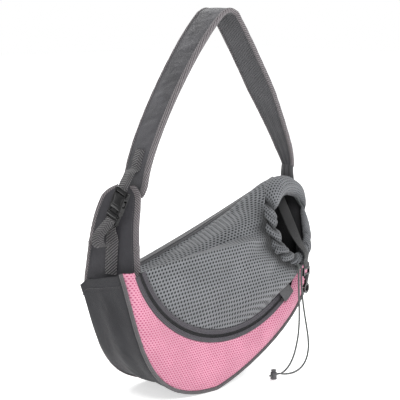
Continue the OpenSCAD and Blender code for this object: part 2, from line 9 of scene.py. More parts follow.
import bpy
import numpy as np
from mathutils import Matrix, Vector


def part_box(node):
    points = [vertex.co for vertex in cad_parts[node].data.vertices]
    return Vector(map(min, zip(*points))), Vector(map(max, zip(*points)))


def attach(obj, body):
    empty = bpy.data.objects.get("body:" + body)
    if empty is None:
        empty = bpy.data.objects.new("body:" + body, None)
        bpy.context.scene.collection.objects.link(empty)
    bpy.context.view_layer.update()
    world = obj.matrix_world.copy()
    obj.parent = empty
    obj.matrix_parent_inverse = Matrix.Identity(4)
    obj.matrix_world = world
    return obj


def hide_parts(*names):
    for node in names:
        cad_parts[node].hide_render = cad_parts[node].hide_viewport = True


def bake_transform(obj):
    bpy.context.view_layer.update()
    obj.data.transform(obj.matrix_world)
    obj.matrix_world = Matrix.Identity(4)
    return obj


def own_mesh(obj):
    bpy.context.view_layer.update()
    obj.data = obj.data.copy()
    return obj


MM = 0.001
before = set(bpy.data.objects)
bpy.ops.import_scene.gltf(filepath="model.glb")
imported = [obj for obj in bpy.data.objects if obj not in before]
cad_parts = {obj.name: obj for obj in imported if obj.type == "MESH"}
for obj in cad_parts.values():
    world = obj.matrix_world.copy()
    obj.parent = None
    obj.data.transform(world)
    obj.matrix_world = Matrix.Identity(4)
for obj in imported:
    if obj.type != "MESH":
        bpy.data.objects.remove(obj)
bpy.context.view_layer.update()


def corners(node):
    """Lowest and highest corner of a CAD node, in millimetres."""
    lo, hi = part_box(node)
    return np.array(lo) / MM, np.array(hi) / MM


# ---------------------------------------------------------------- curves
def arr(*points):
    return np.array(points, float)


def unit(v):
    v = np.asarray(v, float)
    return v / np.maximum(np.linalg.norm(v, axis=-1, keepdims=True), 1e-9)


def lerp(a, b, t):
    return a + (b - a) * t


def bez(p, t):
    """Cubic Bezier through four points at each value of t."""
    p = np.asarray(p, float)
    t = np.asarray(t, float)[..., None]
    return p[0] * (1 - t) ** 3 + 3 * p[1] * (1 - t) ** 2 * t + 3 * p[2] * (1 - t) * t ** 2 + p[3] * t ** 3


def smooth(lo, hi, x):
    t = np.clip((np.asarray(x, float) - lo) / (hi - lo), 0, 1)
    return t * t * (3 - 2 * t)


def ripple(p, size, seed, octaves=3):
    """Smooth repeatable noise in -1..1 at points p, with features about size mm across."""
    rng = np.random.default_rng(seed)
    out = np.zeros(p.shape[:-1])
    for k in range(octaves):
        scale = 2 * math.pi / (size / 1.7 ** k)
        for _ in range(4):
            d = unit(rng.normal(size=p.shape[-1]))
            out += np.sin(p @ d * scale * rng.uniform(0.7, 1.3) + rng.uniform(0, 6.28)) * 0.6 ** k
    return out / (4 * sum(0.6 ** k for k in range(octaves))) * 1.6


def lengths(path, closed=False):
    """Distance along a path at each of its points."""
    step = np.linalg.norm(np.diff(path, axis=0), axis=1)
    return np.r_[0, np.cumsum(step)]


def resample(path, n):
    """n points evenly spaced along a smooth curve through path."""
    path = np.asarray(path, float)
    d = lengths(path)
    fine = []
    for i in range(len(path) - 1):
        p0 = path[max(i - 1, 0)]
        p1, p2 = path[i], path[i + 1]
        p3 = path[min(i + 2, len(path) - 1)]
        t = np.linspace(0, 1, 24, endpoint=False)[:, None]
        fine.append(0.5 * (2 * p1 + (p2 - p0) * t + (2 * p0 - 5 * p1 + 4 * p2 - p3) * t ** 2
                           + (3 * p1 - p0 - 3 * p2 + p3) * t ** 3))
    fine = np.vstack(fine + [path[-1:]])
    d = lengths(fine)
    at = np.linspace(0, d[-1], n)
    return np.stack([np.interp(at, d, fine[:, k]) for k in range(path.shape[1])], 1)


def tangents(path, closed=False):
    if closed:
        return unit(np.roll(path, -1, 0) - np.roll(path, 1, 0))
    return unit(np.gradient(path, axis=0))


# ---------------------------------------------------------------- meshes
def grid_normals(p, wrap_u=False, wrap_v=False):
    du = np.roll(p, -1, 0) - np.roll(p, 1, 0) if wrap_u else np.gradient(p, axis=0)
    dv = np.roll(p, -1, 1) - np.roll(p, 1, 1) if wrap_v else np.gradient(p, axis=1)
    return unit(np.cross(du, dv))


def inside_out(p):
    """True if a tube of rings p[u, v] has its faces turned inwards."""
    q = p - p.mean((0, 1))
    a, b = q[:-1], q[1:]
    c, d = np.roll(b, -1, 1), np.roll(a, -1, 1)
    volume = (np.cross(a, b) * c).sum() + (np.cross(a, c) * d).sum()
    return volume < 0


def link_mesh(name, verts, faces, uvs=None):
    me = bpy.data.meshes.new(name)
    me.from_pydata((np.asarray(verts) * MM).tolist(), [], faces)
    if uvs is not None:
        layer = me.uv_layers.new(name="mm")
        layer.data.foreach_set("uv", np.array(uvs, float).ravel())
    me.polygons.foreach_set("use_smooth", [True] * len(faces))
    me.update()
    ob = bpy.data.objects.new(name, me)
    bpy.context.scene.collection.objects.link(ob)
    return ob


def grid_object(name, p, uv=None, wrap_u=False, wrap_v=False, caps=False, facing=None, crease=None):
    """Quad mesh through an array of points p[u, v], with UVs in millimetres. An open sheet turns its
    outer side to facing; a tube turns it outwards."""
    n, m = p.shape[:2]
    if uv is None:
        du = np.linalg.norm(np.diff(p, axis=0), axis=2).max(1)
        dv = np.linalg.norm(np.diff(p, axis=1), axis=2).max(0)
        uv = np.stack(np.meshgrid(np.r_[0, np.cumsum(du)], np.r_[0, np.cumsum(dv)], indexing="ij"), 2)
    if wrap_v:
        flip = inside_out(np.concatenate([p, p[:1]]) if wrap_u else p)
    else:
        flip = facing is not None and (grid_normals(p).mean((0, 1)) @ np.array(facing, float)) < 0
    if flip:
        p, uv = p[:, ::-1], uv[:, ::-1]
        crease = None if crease is None else crease[:, ::-1]
    close_u = np.linalg.norm(p[0] - p[-1], axis=1).mean()
    close_v = np.linalg.norm(p[:, 0] - p[:, -1], axis=1).mean() * np.sign(uv[0, -1, 1] - uv[0, 0, 1])
    faces, loops = [], []
    for i in range(n if wrap_u else n - 1):
        for j in range(m if wrap_v else m - 1):
            i2, j2 = (i + 1) % n, (j + 1) % m
            faces.append((i * m + j, i2 * m + j, i2 * m + j2, i * m + j2))
            for a, b in ((i, j), (i + 1, j), (i + 1, j + 1), (i, j + 1)):
                c = uv[min(a, n - 1), min(b, m - 1)] + arr(0, 0)
                if a == n:
                    c[0] += close_u
                if b == m:
                    c[1] += close_v
                loops.append(c)
    if caps:
        for ring in (list(range(m))[::-1], list(range((n - 1) * m, n * m))):
            faces.append(tuple(ring))
            loops += [arr(k % 3, k // 3) for k in range(m)]
    ob = link_mesh(name, p.reshape(-1, 3), faces, loops)
    # The crease attribute holds how much painted shade the cloth materials mix into their colour.
    if crease is not None:
        layer = ob.data.attributes.new("crease", "FLOAT", "POINT")
        layer.data.foreach_set("value", np.ascontiguousarray(crease, float).ravel())
    return ob


def thicken(ob, t, offset=-1.0, lining=None):
    """Gives a sheet thickness on its inner side, which can have its own material."""
    mod = ob.modifiers.new("thickness", "SOLIDIFY")
    mod.thickness = t * MM
    mod.offset = offset
    mod.use_even_offset = False
    if lining:
        ob.data.materials.append(MATERIALS[lining])
        mod.material_offset = 1
    return ob


def subdivide(ob, levels=1):
    mod = ob.modifiers.new("smooth", "SUBSURF")
    mod.levels = mod.render_levels = levels
    return ob


def bevel(ob, width, segments=3, angle=30):
    mod = ob.modifiers.new("edges", "BEVEL")
    mod.width = width * MM
    mod.segments = segments
    mod.limit_method = "ANGLE"
    mod.angle_limit = math.radians(angle)
    mod.harden_normals = False
    return ob


def frames(path, up=None, closed=False):
    """Two unit vectors across a path at each point: side, and the one square to it and the path."""
    t = tangents(path, closed)
    up = arr(0, 1, 0) if up is None else np.asarray(up, float)
    up = np.broadcast_to(up, path.shape)
    side = unit(np.cross(t, up))
    return side, unit(np.cross(side, t))


def sweep(name, path, section, side, nor, wrap=False):
    """Closed section[k] = (across, out) carried along a path. The section may vary with the station."""
    section = np.broadcast_to(section, (len(path),) + np.shape(section)[-2:])
    p = path[:, None] + section[..., :1] * side[:, None] + section[..., 1:] * nor[:, None]
    return grid_object(name, p, wrap_u=wrap, wrap_v=True, caps=not wrap)


def cord_object(name, path, r, sides=10, closed=False):
    side, nor = frames(path, closed=closed)
    a = np.arange(sides) * 2 * math.pi / sides
    ring_2d = np.stack([np.cos(a), np.sin(a)], 1)
    return sweep(name, path, ring_2d * np.reshape(r, (-1, 1, 1)), side, nor, wrap=closed)


def rounded_rect(w, t, r, n=4):
    """Section of a flat band w wide and t thick with corner radius r."""
    out = []
    for cx, cy, a0 in ((w / 2 - r, t / 2 - r, 0), (-w / 2 + r, t / 2 - r, 90),
                       (-w / 2 + r, -t / 2 + r, 180), (w / 2 - r, -t / 2 + r, 270)):
        for k in range(n):
            a = math.radians(a0 + 90 * k / (n - 1))
            out.append((cx + r * math.cos(a), cy + r * math.sin(a)))
    return np.array(out)


def band_object(name, path, side, nor, w, t, taper=None):
    """Flat webbing along a path; taper scales its width at each station."""
    sec = rounded_rect(w, t, t * 0.45, 3)
    if taper is not None:
        sec = sec[None] * np.stack([taper, np.ones_like(taper)], 1)[:, None]
    return sweep(name, path, sec, side, nor)


STITCH_RINGS = ((-0.5, 0.35, -0.5), (-0.3, 1, 0.15), (0.3, 1, 0.15), (0.5, 0.35, -0.5))


def stitches(name, runs, length=2.6, gap=1.3, r=0.32):
    """Raised thread stitches. Each run is (path, outward normals)."""
    verts, faces = [], []
    for path, nor in runs:
        d = lengths(path)
        tan = tangents(path)
        count = int(d[-1] // (length + gap))
        start = (d[-1] - count * (length + gap) + gap) / 2
        for mid in start + (length + gap) * np.arange(count) + length / 2:
            c, t, n = (np.array([np.interp(mid, d, v[:, k]) for k in range(3)]) for v in (path, tan, nor))
            t, n = unit(t), unit(n)
            s = np.cross(t, n)
            base = len(verts)
            for x, k, sink in STITCH_RINGS:
                for a in range(6):
                    b = a * math.pi / 3
                    verts.append(c + t * x * length + k * r * (s * math.cos(b) + n * math.sin(b)) + n * sink * r)
            for i in range(3):
                for a in range(6):
                    b = (a + 1) % 6
                    q = base + i * 6
                    faces.append((q + a, q + b, q + 6 + b, q + 6 + a))
            faces.append(tuple(base + a for a in range(5, -1, -1)))
            faces.append(tuple(base + 18 + a for a in range(6)))
    ob = link_mesh(name, verts, faces)
    ob.data.materials.append(MATERIALS["thread"])
    return ob


def run_on(p, nor, pick):
    """A stitch run along one line of a grid: pick chooses its points."""
    return p[pick], nor[pick]


# ---------------------------------------------------------------- materials
class Graph:
    """Short names for building a node material."""

    def __init__(self, name):
        self.mat = bpy.data.materials.new(name)
        self.mat.use_nodes = True
        self.tree = self.mat.node_tree
        self.bsdf = self.tree.nodes["Principled BSDF"]
        self.uv = None

    def node(self, kind, **props):
        n = self.tree.nodes.new(kind)
        for k, v in props.items():
            setattr(n, k, v)
        return n

    def put(self, socket, value):
        if isinstance(value, bpy.types.NodeSocket):
            self.tree.links.new(value, socket)
        elif value is not None:
            socket.default_value = value

    def math(self, op, a, b=None, c=None):
        n = self.node("ShaderNodeMath", operation=op)
        for i, v in enumerate((a, b, c)):
            self.put(n.inputs[i], v)
        return n.outputs[0]

    def coords(self):
        """U and V in millimetres."""
        if self.uv is None:
            uv = self.node("ShaderNodeUVMap", uv_map="mm")
            sep = self.node("ShaderNodeSeparateXYZ")
            self.put(sep.inputs[0], uv.outputs[0])
            self.uv = sep.outputs[0], sep.outputs[1]
        return self.uv

    def space(self):
        """Object coordinates in millimetres."""
        tc = self.node("ShaderNodeTexCoord")
        n = self.node("ShaderNodeVectorMath", operation="SCALE")
        self.put(n.inputs[0], tc.outputs["Object"])
        n.inputs["Scale"].default_value = 1 / MM
        return n.outputs[0]

    def noise(self, scale, detail=3.0, rough=0.55, vector=None):
        n = self.node("ShaderNodeTexNoise")
        self.put(n.inputs["Vector"], vector or self.space())
        n.inputs["Scale"].default_value = scale
        n.inputs["Detail"].default_value = detail
        n.inputs["Roughness"].default_value = rough
        return n.outputs["Fac"]

    def ramp(self, x, lo, hi, a=0.0, b=1.0):
        n = self.node("ShaderNodeMapRange", interpolation_type="SMOOTHSTEP")
        for i, v in enumerate((x, lo, hi, a, b)):
            self.put(n.inputs[i], v)
        return n.outputs[0]

    def mix(self, fac, a, b):
        n = self.node("ShaderNodeMix", data_type="RGBA")
        self.put(n.inputs[0], fac)
        self.put(n.inputs[6], (*a, 1) if isinstance(a, tuple) else a)
        self.put(n.inputs[7], (*b, 1) if isinstance(b, tuple) else b)
        return n.outputs[2]

    def bump(self, height, distance, strength=1.0, after=None):
        n = self.node("ShaderNodeBump")
        n.inputs["Strength"].default_value = strength
        n.inputs["Distance"].default_value = distance * MM
        self.put(n.inputs["Height"], height)
        if after is not None:
            self.put(n.inputs["Normal"], after)
        return n.outputs[0]

    def done(self, color, roughness, normal=None, sheen=0.0, specular=0.35, coat=0.0):
        self.put(self.bsdf.inputs["Base Color"], (*color, 1) if isinstance(color, tuple) else color)
        self.put(self.bsdf.inputs["Roughness"], roughness)
        if normal is not None:
            self.put(self.bsdf.inputs["Normal"], normal)
        self.bsdf.inputs["Sheen Weight"].default_value = sheen
        self.bsdf.inputs["Sheen Roughness"].default_value = 0.45
        self.bsdf.inputs["Specular IOR Level"].default_value = specular
        self.bsdf.inputs["Coat Weight"].default_value = coat
        return self.mat


def mesh_cloth(name, color, hole, pitch=(4.4, 4.4), hole_r=1.0, lining=(0.01, 0.01, 0.011)):
    """Perforated knit: staggered round holes in a cushioned ground of fine loops."""
    g = Graph(name)
    u, v = g.coords()
    best = None
    for off in (0.0, 0.5):
        a = g.math("SUBTRACT", g.math("FRACT", g.math("MULTIPLY_ADD", u, 1 / pitch[0], off)), 0.5)
        b = g.math("SUBTRACT", g.math("FRACT", g.math("MULTIPLY_ADD", v, 1 / pitch[1], off)), 0.5)
        a = g.math("MULTIPLY", a, pitch[0] * 0.9)
        b = g.math("MULTIPLY", b, pitch[1] * 1.1)
        d = g.math("SQRT", g.math("ADD", g.math("MULTIPLY", a, a), g.math("MULTIPLY", b, b)))
        best = d if best is None else g.math("MINIMUM", best, d)
    jitter = g.math("MULTIPLY_ADD", g.noise(0.35, 2), 0.5, -0.25)
    edge = g.math("ADD", best, jitter)
    ground = g.ramp(edge, hole_r * 0.55, hole_r * 1.25)
    loops = g.math("MULTIPLY", g.math("SINE", g.math("MULTIPLY", u, 7.5)),
                   g.math("SINE", g.math("MULTIPLY", v, 7.5)))
    large = g.noise(0.02, 3)
    tone = g.mix(g.ramp(large, 0.3, 0.7), tuple(c * 0.9 for c in color), tuple(min(1, c * 1.07) for c in color))
    tone = g.mix(g.math("MULTIPLY_ADD", loops, 0.06, 0.06), tone, tuple(c * 0.55 for c in color))
    color_out = g.mix(ground, hole, tone)
    # Painted shade: the crease attribute darkens the colour towards a dark copy in creases and where the cloth tucks
    # under, where shadow falls.
    crease = g.node("ShaderNodeAttribute", attribute_name="crease").outputs["Fac"]
    color_out = g.mix(crease, color_out, tuple(c * 0.12 for c in color))
    back = g.node("ShaderNodeNewGeometry").outputs["Backfacing"]
    color_out = g.mix(back, color_out, lining)
    height = g.math("ADD", g.ramp(edge, hole_r * 0.5, hole_r * 1.6), g.math("MULTIPLY", loops, 0.08))
    n = g.bump(height, 0.7, 0.9)
    return g.done(color_out, 0.85, n, sheen=0.12, specular=0.2)


def woven_cloth(name, color, weave=0.7, gloss=0.5, wrinkle=0.6, sheen=0.1, contrast=0.12, specular=0.4):
    """Plain woven nylon: fine threads both ways, faint creases and uneven tone."""
    g = Graph(name)
    u, v = g.coords()
    k = 2 * math.pi / weave
    warp = g.math("SINE", g.math("MULTIPLY", u, k))
    weft = g.math("SINE", g.math("MULTIPLY", v, k))
    threads = g.math("MULTIPLY", warp, weft)
    large = g.noise(0.018, 4, 0.6)
    fine = g.noise(0.9, 2)
    tone = g.mix(g.ramp(large, 0.3, 0.7), tuple(c * (1 - contrast) for c in color),
                 tuple(min(1, c * (1 + contrast)) for c in color))
    tone = g.mix(g.math("MULTIPLY", fine, 0.25), tone, tuple(c * 0.6 for c in color))
    n = g.bump(g.noise(0.045, 4, 0.55), wrinkle, 0.7)
    n = g.bump(threads, 0.12, 0.5, n)
    rough = g.ramp(fine, 0.2, 0.8, gloss - 0.06, gloss + 0.08)
    return g.done(tone, rough, n, sheen=sheen, specular=specular)


def ribbed_tape(name, color, rib=1.5, slope=0.0, gloss=0.7, depth=0.35, speckle=0.35, cross=0.0, bold=0.3):
    """Woven tape: ribs across its length, slanted by slope, with speckled yarn and an optional
    chevron of period cross."""
    g = Graph(name)
    u, v = g.coords()
    lean = v
    if cross:
        lean = g.math("PINGPONG", v, cross)
    phase = g.math("ADD", u, g.math("MULTIPLY", lean, slope))
    ribs = g.math("SINE", g.math("MULTIPLY", phase, 2 * math.pi / rib))
    yarn = g.math("SINE", g.math("MULTIPLY", v, 2 * math.pi / (rib * 0.6)))
    fine = g.noise(0.5, 3)
    shade = g.math("MULTIPLY_ADD", ribs, bold, 0.45)
    shade = g.math("ADD", shade, g.math("MULTIPLY", g.math("SUBTRACT", fine, 0.5), speckle))
    tone = g.mix(shade, tuple(c * 0.35 for c in color), tuple(min(1, c * 1.55) for c in color))
    height = g.math("ADD", ribs, g.math("MULTIPLY", yarn, 0.3))
    n = g.bump(height, depth, 0.8)
    n = g.bump(g.noise(0.08, 3), 0.4, 0.5, n)
    return g.done(tone, gloss, n, sheen=0.15, specular=0.3)


def plastic(name, color, rough=0.35, grain=0.25):
    """Moulded plastic with a faint texture, smudges and paler worn spots."""
    g = Graph(name)
    smudge = g.noise(0.06, 4)
    fine = g.noise(1.6, 2)
    tone = g.mix(g.ramp(smudge, 0.45, 0.8), color, tuple(min(1, c * 1.5 + 0.004) for c in color))
    r = g.ramp(smudge, 0.3, 0.75, rough - 0.07, rough + 0.12)
    return g.done(tone, r, g.bump(fine, 0.05 * grain * 4, 0.5), specular=0.4)


def braided_cord(name, color):
    """Fine round braid."""
    g = Graph(name)
    u, v = g.coords()
    a = g.math("SINE", g.math("ADD", g.math("MULTIPLY", u, 3.4), g.math("MULTIPLY", v, 1.54)))
    b = g.math("SINE", g.math("SUBTRACT", g.math("MULTIPLY", u, 3.4), g.math("MULTIPLY", v, 1.54)))
    h = g.math("MULTIPLY", a, b)
    tone = g.mix(g.math("MULTIPLY_ADD", h, 0.4, 0.5), tuple(c * 0.7 for c in color), tuple(c * 1.3 for c in color))
    return g.done(tone, 0.75, g.bump(h, 0.25, 0.8), sheen=0.2, specular=0.3)


def backdrop_paper():
    g = Graph("studio_white")
    g.bsdf.inputs["Emission Color"].default_value = (1, 1, 1, 1)
    g.bsdf.inputs["Emission Strength"].default_value = 0.6
    return g.done(g.mix(g.noise(0.01, 2), (0.93, 0.93, 0.93), (0.95, 0.95, 0.95)), 0.9, specular=0.1)


MATERIALS = {
    "pink_mesh": mesh_cloth("pink_mesh", (0.56, 0.25, 0.335), (0.33, 0.045, 0.12), pitch=(5.8, 8.6), hole_r=1.35,
                            lining=(0.05, 0.02, 0.03)),
    "grey_mesh": mesh_cloth("grey_mesh", (0.168, 0.174, 0.183), (0.008, 0.008, 0.009), pitch=(6.2, 9.8), hole_r=1.8),
    "pocket_nylon": woven_cloth("pocket_nylon", (0.024, 0.024, 0.027), gloss=0.55, wrinkle=0.5, sheen=0.02, specular=0.14),
    "strap_nylon": woven_cloth("strap_nylon", (0.052, 0.051, 0.057), weave=0.9, gloss=0.6, wrinkle=1.8,
                               sheen=0.12, contrast=0.3, specular=0.25),
    "panel_nylon": woven_cloth("panel_nylon", (0.04, 0.039, 0.044), weave=0.9, gloss=0.5, wrinkle=0.8, sheen=0.03,
                               specular=0.22),
    "hem_nylon": woven_cloth("hem_nylon", (0.066, 0.066, 0.07), weave=0.9, gloss=0.6, wrinkle=0.5),
    "lining_knit": mesh_cloth("lining_knit", (0.022, 0.022, 0.024), (0.008, 0.008, 0.008), pitch=(2.4, 2.4), hole_r=0.5),
    "binding_tape": ribbed_tape("binding_tape", (0.14, 0.127, 0.133), rib=5.0, slope=1.0, speckle=1.5, depth=0.6,
                                bold=0.6),
    "piping": ribbed_tape("piping", (0.095, 0.09, 0.094), rib=1.4, slope=0.6, speckle=0.7),
    "zip_tape": ribbed_tape("zip_tape", (0.055, 0.05, 0.06), rib=1.0, depth=0.15, speckle=0.4),
    "webbing": ribbed_tape("webbing", (0.072, 0.069, 0.072), rib=4.8, slope=0.55, depth=1.2, cross=12.5, bold=0.6),
    "anchor_web": ribbed_tape("anchor_web", (0.08, 0.076, 0.079), rib=5.6, slope=-0.9, depth=1.2, bold=0.6),
    "black_webbing": ribbed_tape("black_webbing", (0.03, 0.03, 0.031), rib=1.6, depth=0.35, gloss=0.6),
    "buckle": plastic("buckle", (0.003, 0.003, 0.0034), 0.22),
    "grey_plastic": plastic("grey_plastic", (0.06, 0.06, 0.064), 0.5),
    "coil": plastic("coil", (0.02, 0.02, 0.022), 0.4),
    "cord": braided_cord("cord", (0.075, 0.082, 0.08)),
    "thread": plastic("thread", (0.09, 0.088, 0.092), 0.6),
    "collar_mesh": mesh_cloth("collar_mesh", (0.17, 0.176, 0.186), (0.01, 0.01, 0.011), pitch=(5.6, 8.0), hole_r=1.5),
    "strap_lining": mesh_cloth("strap_lining", (0.085, 0.085, 0.09), (0.02, 0.02, 0.022), pitch=(5.4, 7.6), hole_r=1.3),
    "black_metal": plastic("black_metal", (0.02, 0.02, 0.021), 0.35),
    "steel": plastic("steel", (0.4, 0.4, 0.4), 0.3),
    "paper": backdrop_paper(),
}


def dress(ob, material, body=None, replaces=()):
    """Material, body and the CAD nodes that a piece stands for."""
    lining = [m for m in ob.data.materials][:]
    ob.data.materials.clear()
    ob.data.materials.append(MATERIALS[material])
    for m in lining:
        ob.data.materials.append(m)
    if body:
        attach(ob, body)
    if replaces:
        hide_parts(*replaces)
    return ob


# ---------------------------------------------------------------- the bag's outline
FLOOR_GAP = 2.5
POCKET_END = arr(-250, 245)
HEAD_END = arr(224, 195)
KEEL = arr(-40, FLOOR_GAP)
KEEL_U = 0.45
HALF_DEPTH = 66.0
GAP = 0.5
SEAM_LEFT = arr(POCKET_END, (-210, 111), (-207, FLOOR_GAP - 5), KEEL)
SEAM_RIGHT = arr(KEEL, (33, FLOOR_GAP + 17), (HEAD_END[0] - 3, 106), HEAD_END)


def seam(u):
    u = np.asarray(u, float)
    left = bez(SEAM_LEFT, np.clip(u / KEEL_U, 0, 1))
    right = bez(SEAM_RIGHT, np.clip((u - KEEL_U) / (1 - KEEL_U), 0, 1))
    return np.where((u < KEEL_U)[..., None], left, right)


def seam_normal(u):
    d = unit(seam(np.minimum(1, u + 0.004)) - seam(np.maximum(0, u - 0.004)))
    return np.stack([d[..., 1], -d[..., 0]], -1)


def depth_at(u):
    return HALF_DEPTH - np.where(u < 0.5, 11, 24) * np.abs(2 * u - 1) ** 2.2


def outline(u, y, out=0.0):
    u = np.asarray(u, float)
    p = seam(u) + np.asarray(out, float)[..., None] * seam_normal(u)
    return np.stack([p[..., 0], np.broadcast_to(y, p.shape[:-1]), p[..., 1]], -1)


ZIP_C = arr(-10, 321)
ZIP_R = 223.5
ZIP_Y = -68.0
ZIP_LEFT, ZIP_RIGHT = 201.0, 313.0


def zip_point(deg, off=0.0, y=ZIP_Y):
    a = np.radians(np.asarray(deg, float))
    r = ZIP_R + np.asarray(off, float)
    x = ZIP_C[0] + r * np.cos(a)
    return np.stack([x, np.broadcast_to(y, x.shape), ZIP_C[1] + r * np.sin(a)], -1)


HEM_LEFT, HEM_RIGHT = arr(-238, 52, 196), arr(203, 30, 356)


def hem(v):
    v = np.asarray(v, float)[..., None]
    return lerp(HEM_LEFT, HEM_RIGHT, v) + arr(0, 0, -6) * np.sin(math.pi * v)


def span(n, lo=0.0, hi=1.0):
    return np.linspace(lo, hi, n)


def bends_with_cover(ob):
    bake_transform(ob)
    return ob


# ---------------------------------------------------------------- body panels
EDGE_OFF = 11.0     # the front panel's top edge, under the lower tape
SIDE_EDGE = arr(zip_point(ZIP_RIGHT, EDGE_OFF), (164, -62, 176), (194, -51, 204), (214, -42, 230))


def front_edge(u):
    arc = zip_point(lerp(ZIP_LEFT, ZIP_RIGHT, np.clip(u / 0.8, 0, 1)), EDGE_OFF, ZIP_Y + 0.6)
    end = bez(SIDE_EDGE, np.clip((u - 0.8) / 0.2, 0, 1))
    corner = (1 - smooth(0, 0.07, u))[..., None] * arr(0, 2, 9)
    return np.where((u < 0.8)[..., None], arc, end) + corner


def puckered(p, out, amount, seed, size=55.0):
    """Pushes a panel's points along out by soft wrinkles that fade at its borders."""
    n, m = p.shape[:2]
    v = span(m)[None, :]
    fade = smooth(0, 0.12, v) * smooth(0, 0.1, 1 - v) * smooth(0, 0.05, span(n)[:, None])
    return p + out * (amount * ripple(p * arr(1, 1, 0.55), size, seed) * fade)[..., None]


def front_panel():
    u, v = span(121), span(45)
    a = outline(u, -depth_at(u) - GAP - 1.5, -1.0)
    b = front_edge(u)
    p = lerp(a[:, None], b[:, None], v[None, :, None])
    belly = 6.5 * np.sin(math.pi * v) ** 0.9
    p[..., 1] -= belly[None]
    p = puckered(p, arr(0, -1, 0), 1.5, 3)
    gathers = np.exp(-(1 - v[None]) / 0.1) * np.sin(u[:, None] * 150 + 2 * np.sin(u[:, None] * 23))
    p[..., 1] -= 0.35 * gathers * smooth(0.0, 0.04, 1 - v)[None]
    ob = grid_object("front_panel_mesh", p, uv=p[..., [0, 2]], facing=(0, -1, 0))
    thicken(ob, 2.0, lining="lining_knit")
    subdivide(ob)
    return dress(ob, "pink_mesh", "bag", ["front_panel"])


def back_panel():
    u, v = span(121), span(51)
    a = outline(lerp(0.06, 1, u), depth_at(u) + GAP + 1.5, -1.0)
    b = hem(u)
    p = lerp(a[:, None], b[:, None], v[None, :, None])
    p[..., 1] += 6 * np.sin(math.pi * v)[None] ** 0.9
    p = puckered(p, arr(0, 1, 0), 1.8, 5, 70)
    ob = grid_object("back_panel_mesh", p, uv=p[..., [0, 2]], facing=(0, 1, 0))
    thicken(ob, 2.0, lining="lining_knit")
    subdivide(ob)
    return dress(ob, "pink_mesh", "bag", ["back_panel"])


def gusset():
    u, k = span(101, 0.03, 1), span(25, -1, 1)
    y = (depth_at(u) - 1.0)[:, None] * k[None]
    sag = 1.5 * np.cos(k * math.pi / 2)[None] ** 0.7
    p = outline(np.broadcast_to(u[:, None], y.shape), y, -2.0 + sag)
    p = p + unit(p - arr(-10, 0, 200)) * (0.8 * ripple(p, 50, 9) * (1 - k ** 4)[None])[..., None]
    d = lengths(outline(u, 0))
    ob = grid_object("gusset_nylon", p, uv=np.stack([np.broadcast_to(d[:, None], y.shape), y], 2),
                     facing=(0, 0, -1))
    thicken(ob, 2.0, lining="lining_knit")
    return dress(subdivide(ob), "pocket_nylon", "bag", ["gusset"])


POCKET_U = 0.36


def pocket_point(s, k, out):
    """s runs down the pocket from its mouth, k from the front seam to the back one."""
    u = lerp(0, POCKET_U, s)
    y = lerp(-1, 1, k) * (depth_at(u) - 0.8)
    belly = 3 * np.sin(math.pi * k) * np.sin(math.pi * np.minimum(1, s * 1.4))
    p = outline(u, y, out + belly)
    p[..., 0] += (1 - s) * -4 * k
    p[..., 2] -= (1 - s) ** 2 * (4 * smooth(0, 0.06, k) + 26 * k + 7 * smooth(0.84, 1, k))
    return p


def pocket_grid(s, k, lift=0.0):
    s, k = np.meshgrid(s, k, indexing="ij")
    fold = np.sin(k * 13 + 1.2 * np.sin(s * 4)) * smooth(0, 0.25, s) * np.sin(math.pi * k) ** 0.6
    crease = ripple(np.stack([s * 160, k * 110], -1), 38, 12)
    out = 1.6 + lift + 1.5 * fold + 0.9 * crease * np.sin(math.pi * k) * smooth(0, 0.15, s)
    return pocket_point(s, k, out)


def end_pocket():
    s, k = span(61), span(37)
    p = pocket_grid(s, k)
    d = lengths(outline(lerp(0, POCKET_U, s), 0))
    uv = np.stack([np.broadcast_to(d[:, None], p.shape[:2]), p[..., 1]], 2)
    ob = grid_object("end_pocket_cloth", p, uv=uv, facing=(-1, 0, 0))
    thicken(ob, 1.4)
    dress(subdivide(ob), "pocket_nylon", "bag", ["end_pocket"])
    rim = pocket_grid(arr(0.0, 0.02, 0.045, 0.07), k, 0.9)
    top = pocket_grid(arr(0.0), k, -2.0)
    rim = np.concatenate([top + arr(0, 0, 0.4), rim[:1] + arr(0, 0, 1.4), rim])
    hem_ob = grid_object("pocket_hem_fold", rim, facing=(-1, 0, 0))
    thicken(hem_ob, 1.0)
    dress(subdivide(hem_ob, 2), "pocket_nylon", "bag", ["pocket_hem"])
    line = pocket_grid(arr(0.058), k, 1.4)[0]
    dress_thread(stitches("pocket_hem_stitches", [(line, np.broadcast_to(arr(-1, 0, 0), line.shape))]), "bag")


def dress_thread(ob, body):
    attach(ob, body)
    return ob


def seam_binding(name, side, start, node):
    u = span(150, start, 1)
    y = side * (depth_at(u) + 1.6)
    path = outline(u, y, 1.9)
    nor2 = seam_normal(u)
    nor = np.stack([nor2[:, 0], np.zeros(len(u)), nor2[:, 1]], 1)
    across = np.broadcast_to(arr(0, 1, 0), path.shape)
    wave = 0.25 * ripple(path, 26, 21)
    sec = rounded_rect(5.6, 6.2, 1.7, 4)
    sec = sec[None] * (1 + 0.06 * wave[:, None, None])
    ob = sweep(name, path + nor * wave[:, None], sec, across, nor)
    return dress(ob, "piping", "bag", [node])




def back_hem():
    v = span(91)
    h = hem(v) + arr(0, 0, 2.6)
    rows = [h + arr(0, 3.6, -7), h + arr(0, 3.4, -1.5), h + arr(0, 1.5, 0.4), h + arr(0, -3, 0.3),
            h + arr(0, -7, -2.6)]
    p = np.stack(rows, 1)
    p = p + arr(0, 0, 1) * (0.6 * ripple(p, 30, 31))[..., None]
    ob = grid_object("back_hem_band", p, facing=(0, 0, 1))
    thicken(ob, 1.4)
    subdivide(ob, 2)
    dress(ob, "hem_nylon", "bag", ["back_hem"])
    line = h + arr(0, 3.9, -4.5)
    line = line + arr(0, 0, 1) * (0.6 * ripple(line, 30, 31))[..., None]
    out = np.broadcast_to(arr(0, 1, 0), line.shape)
    dress_thread(stitches("back_hem_stitches", [(line, out)]), "bag")


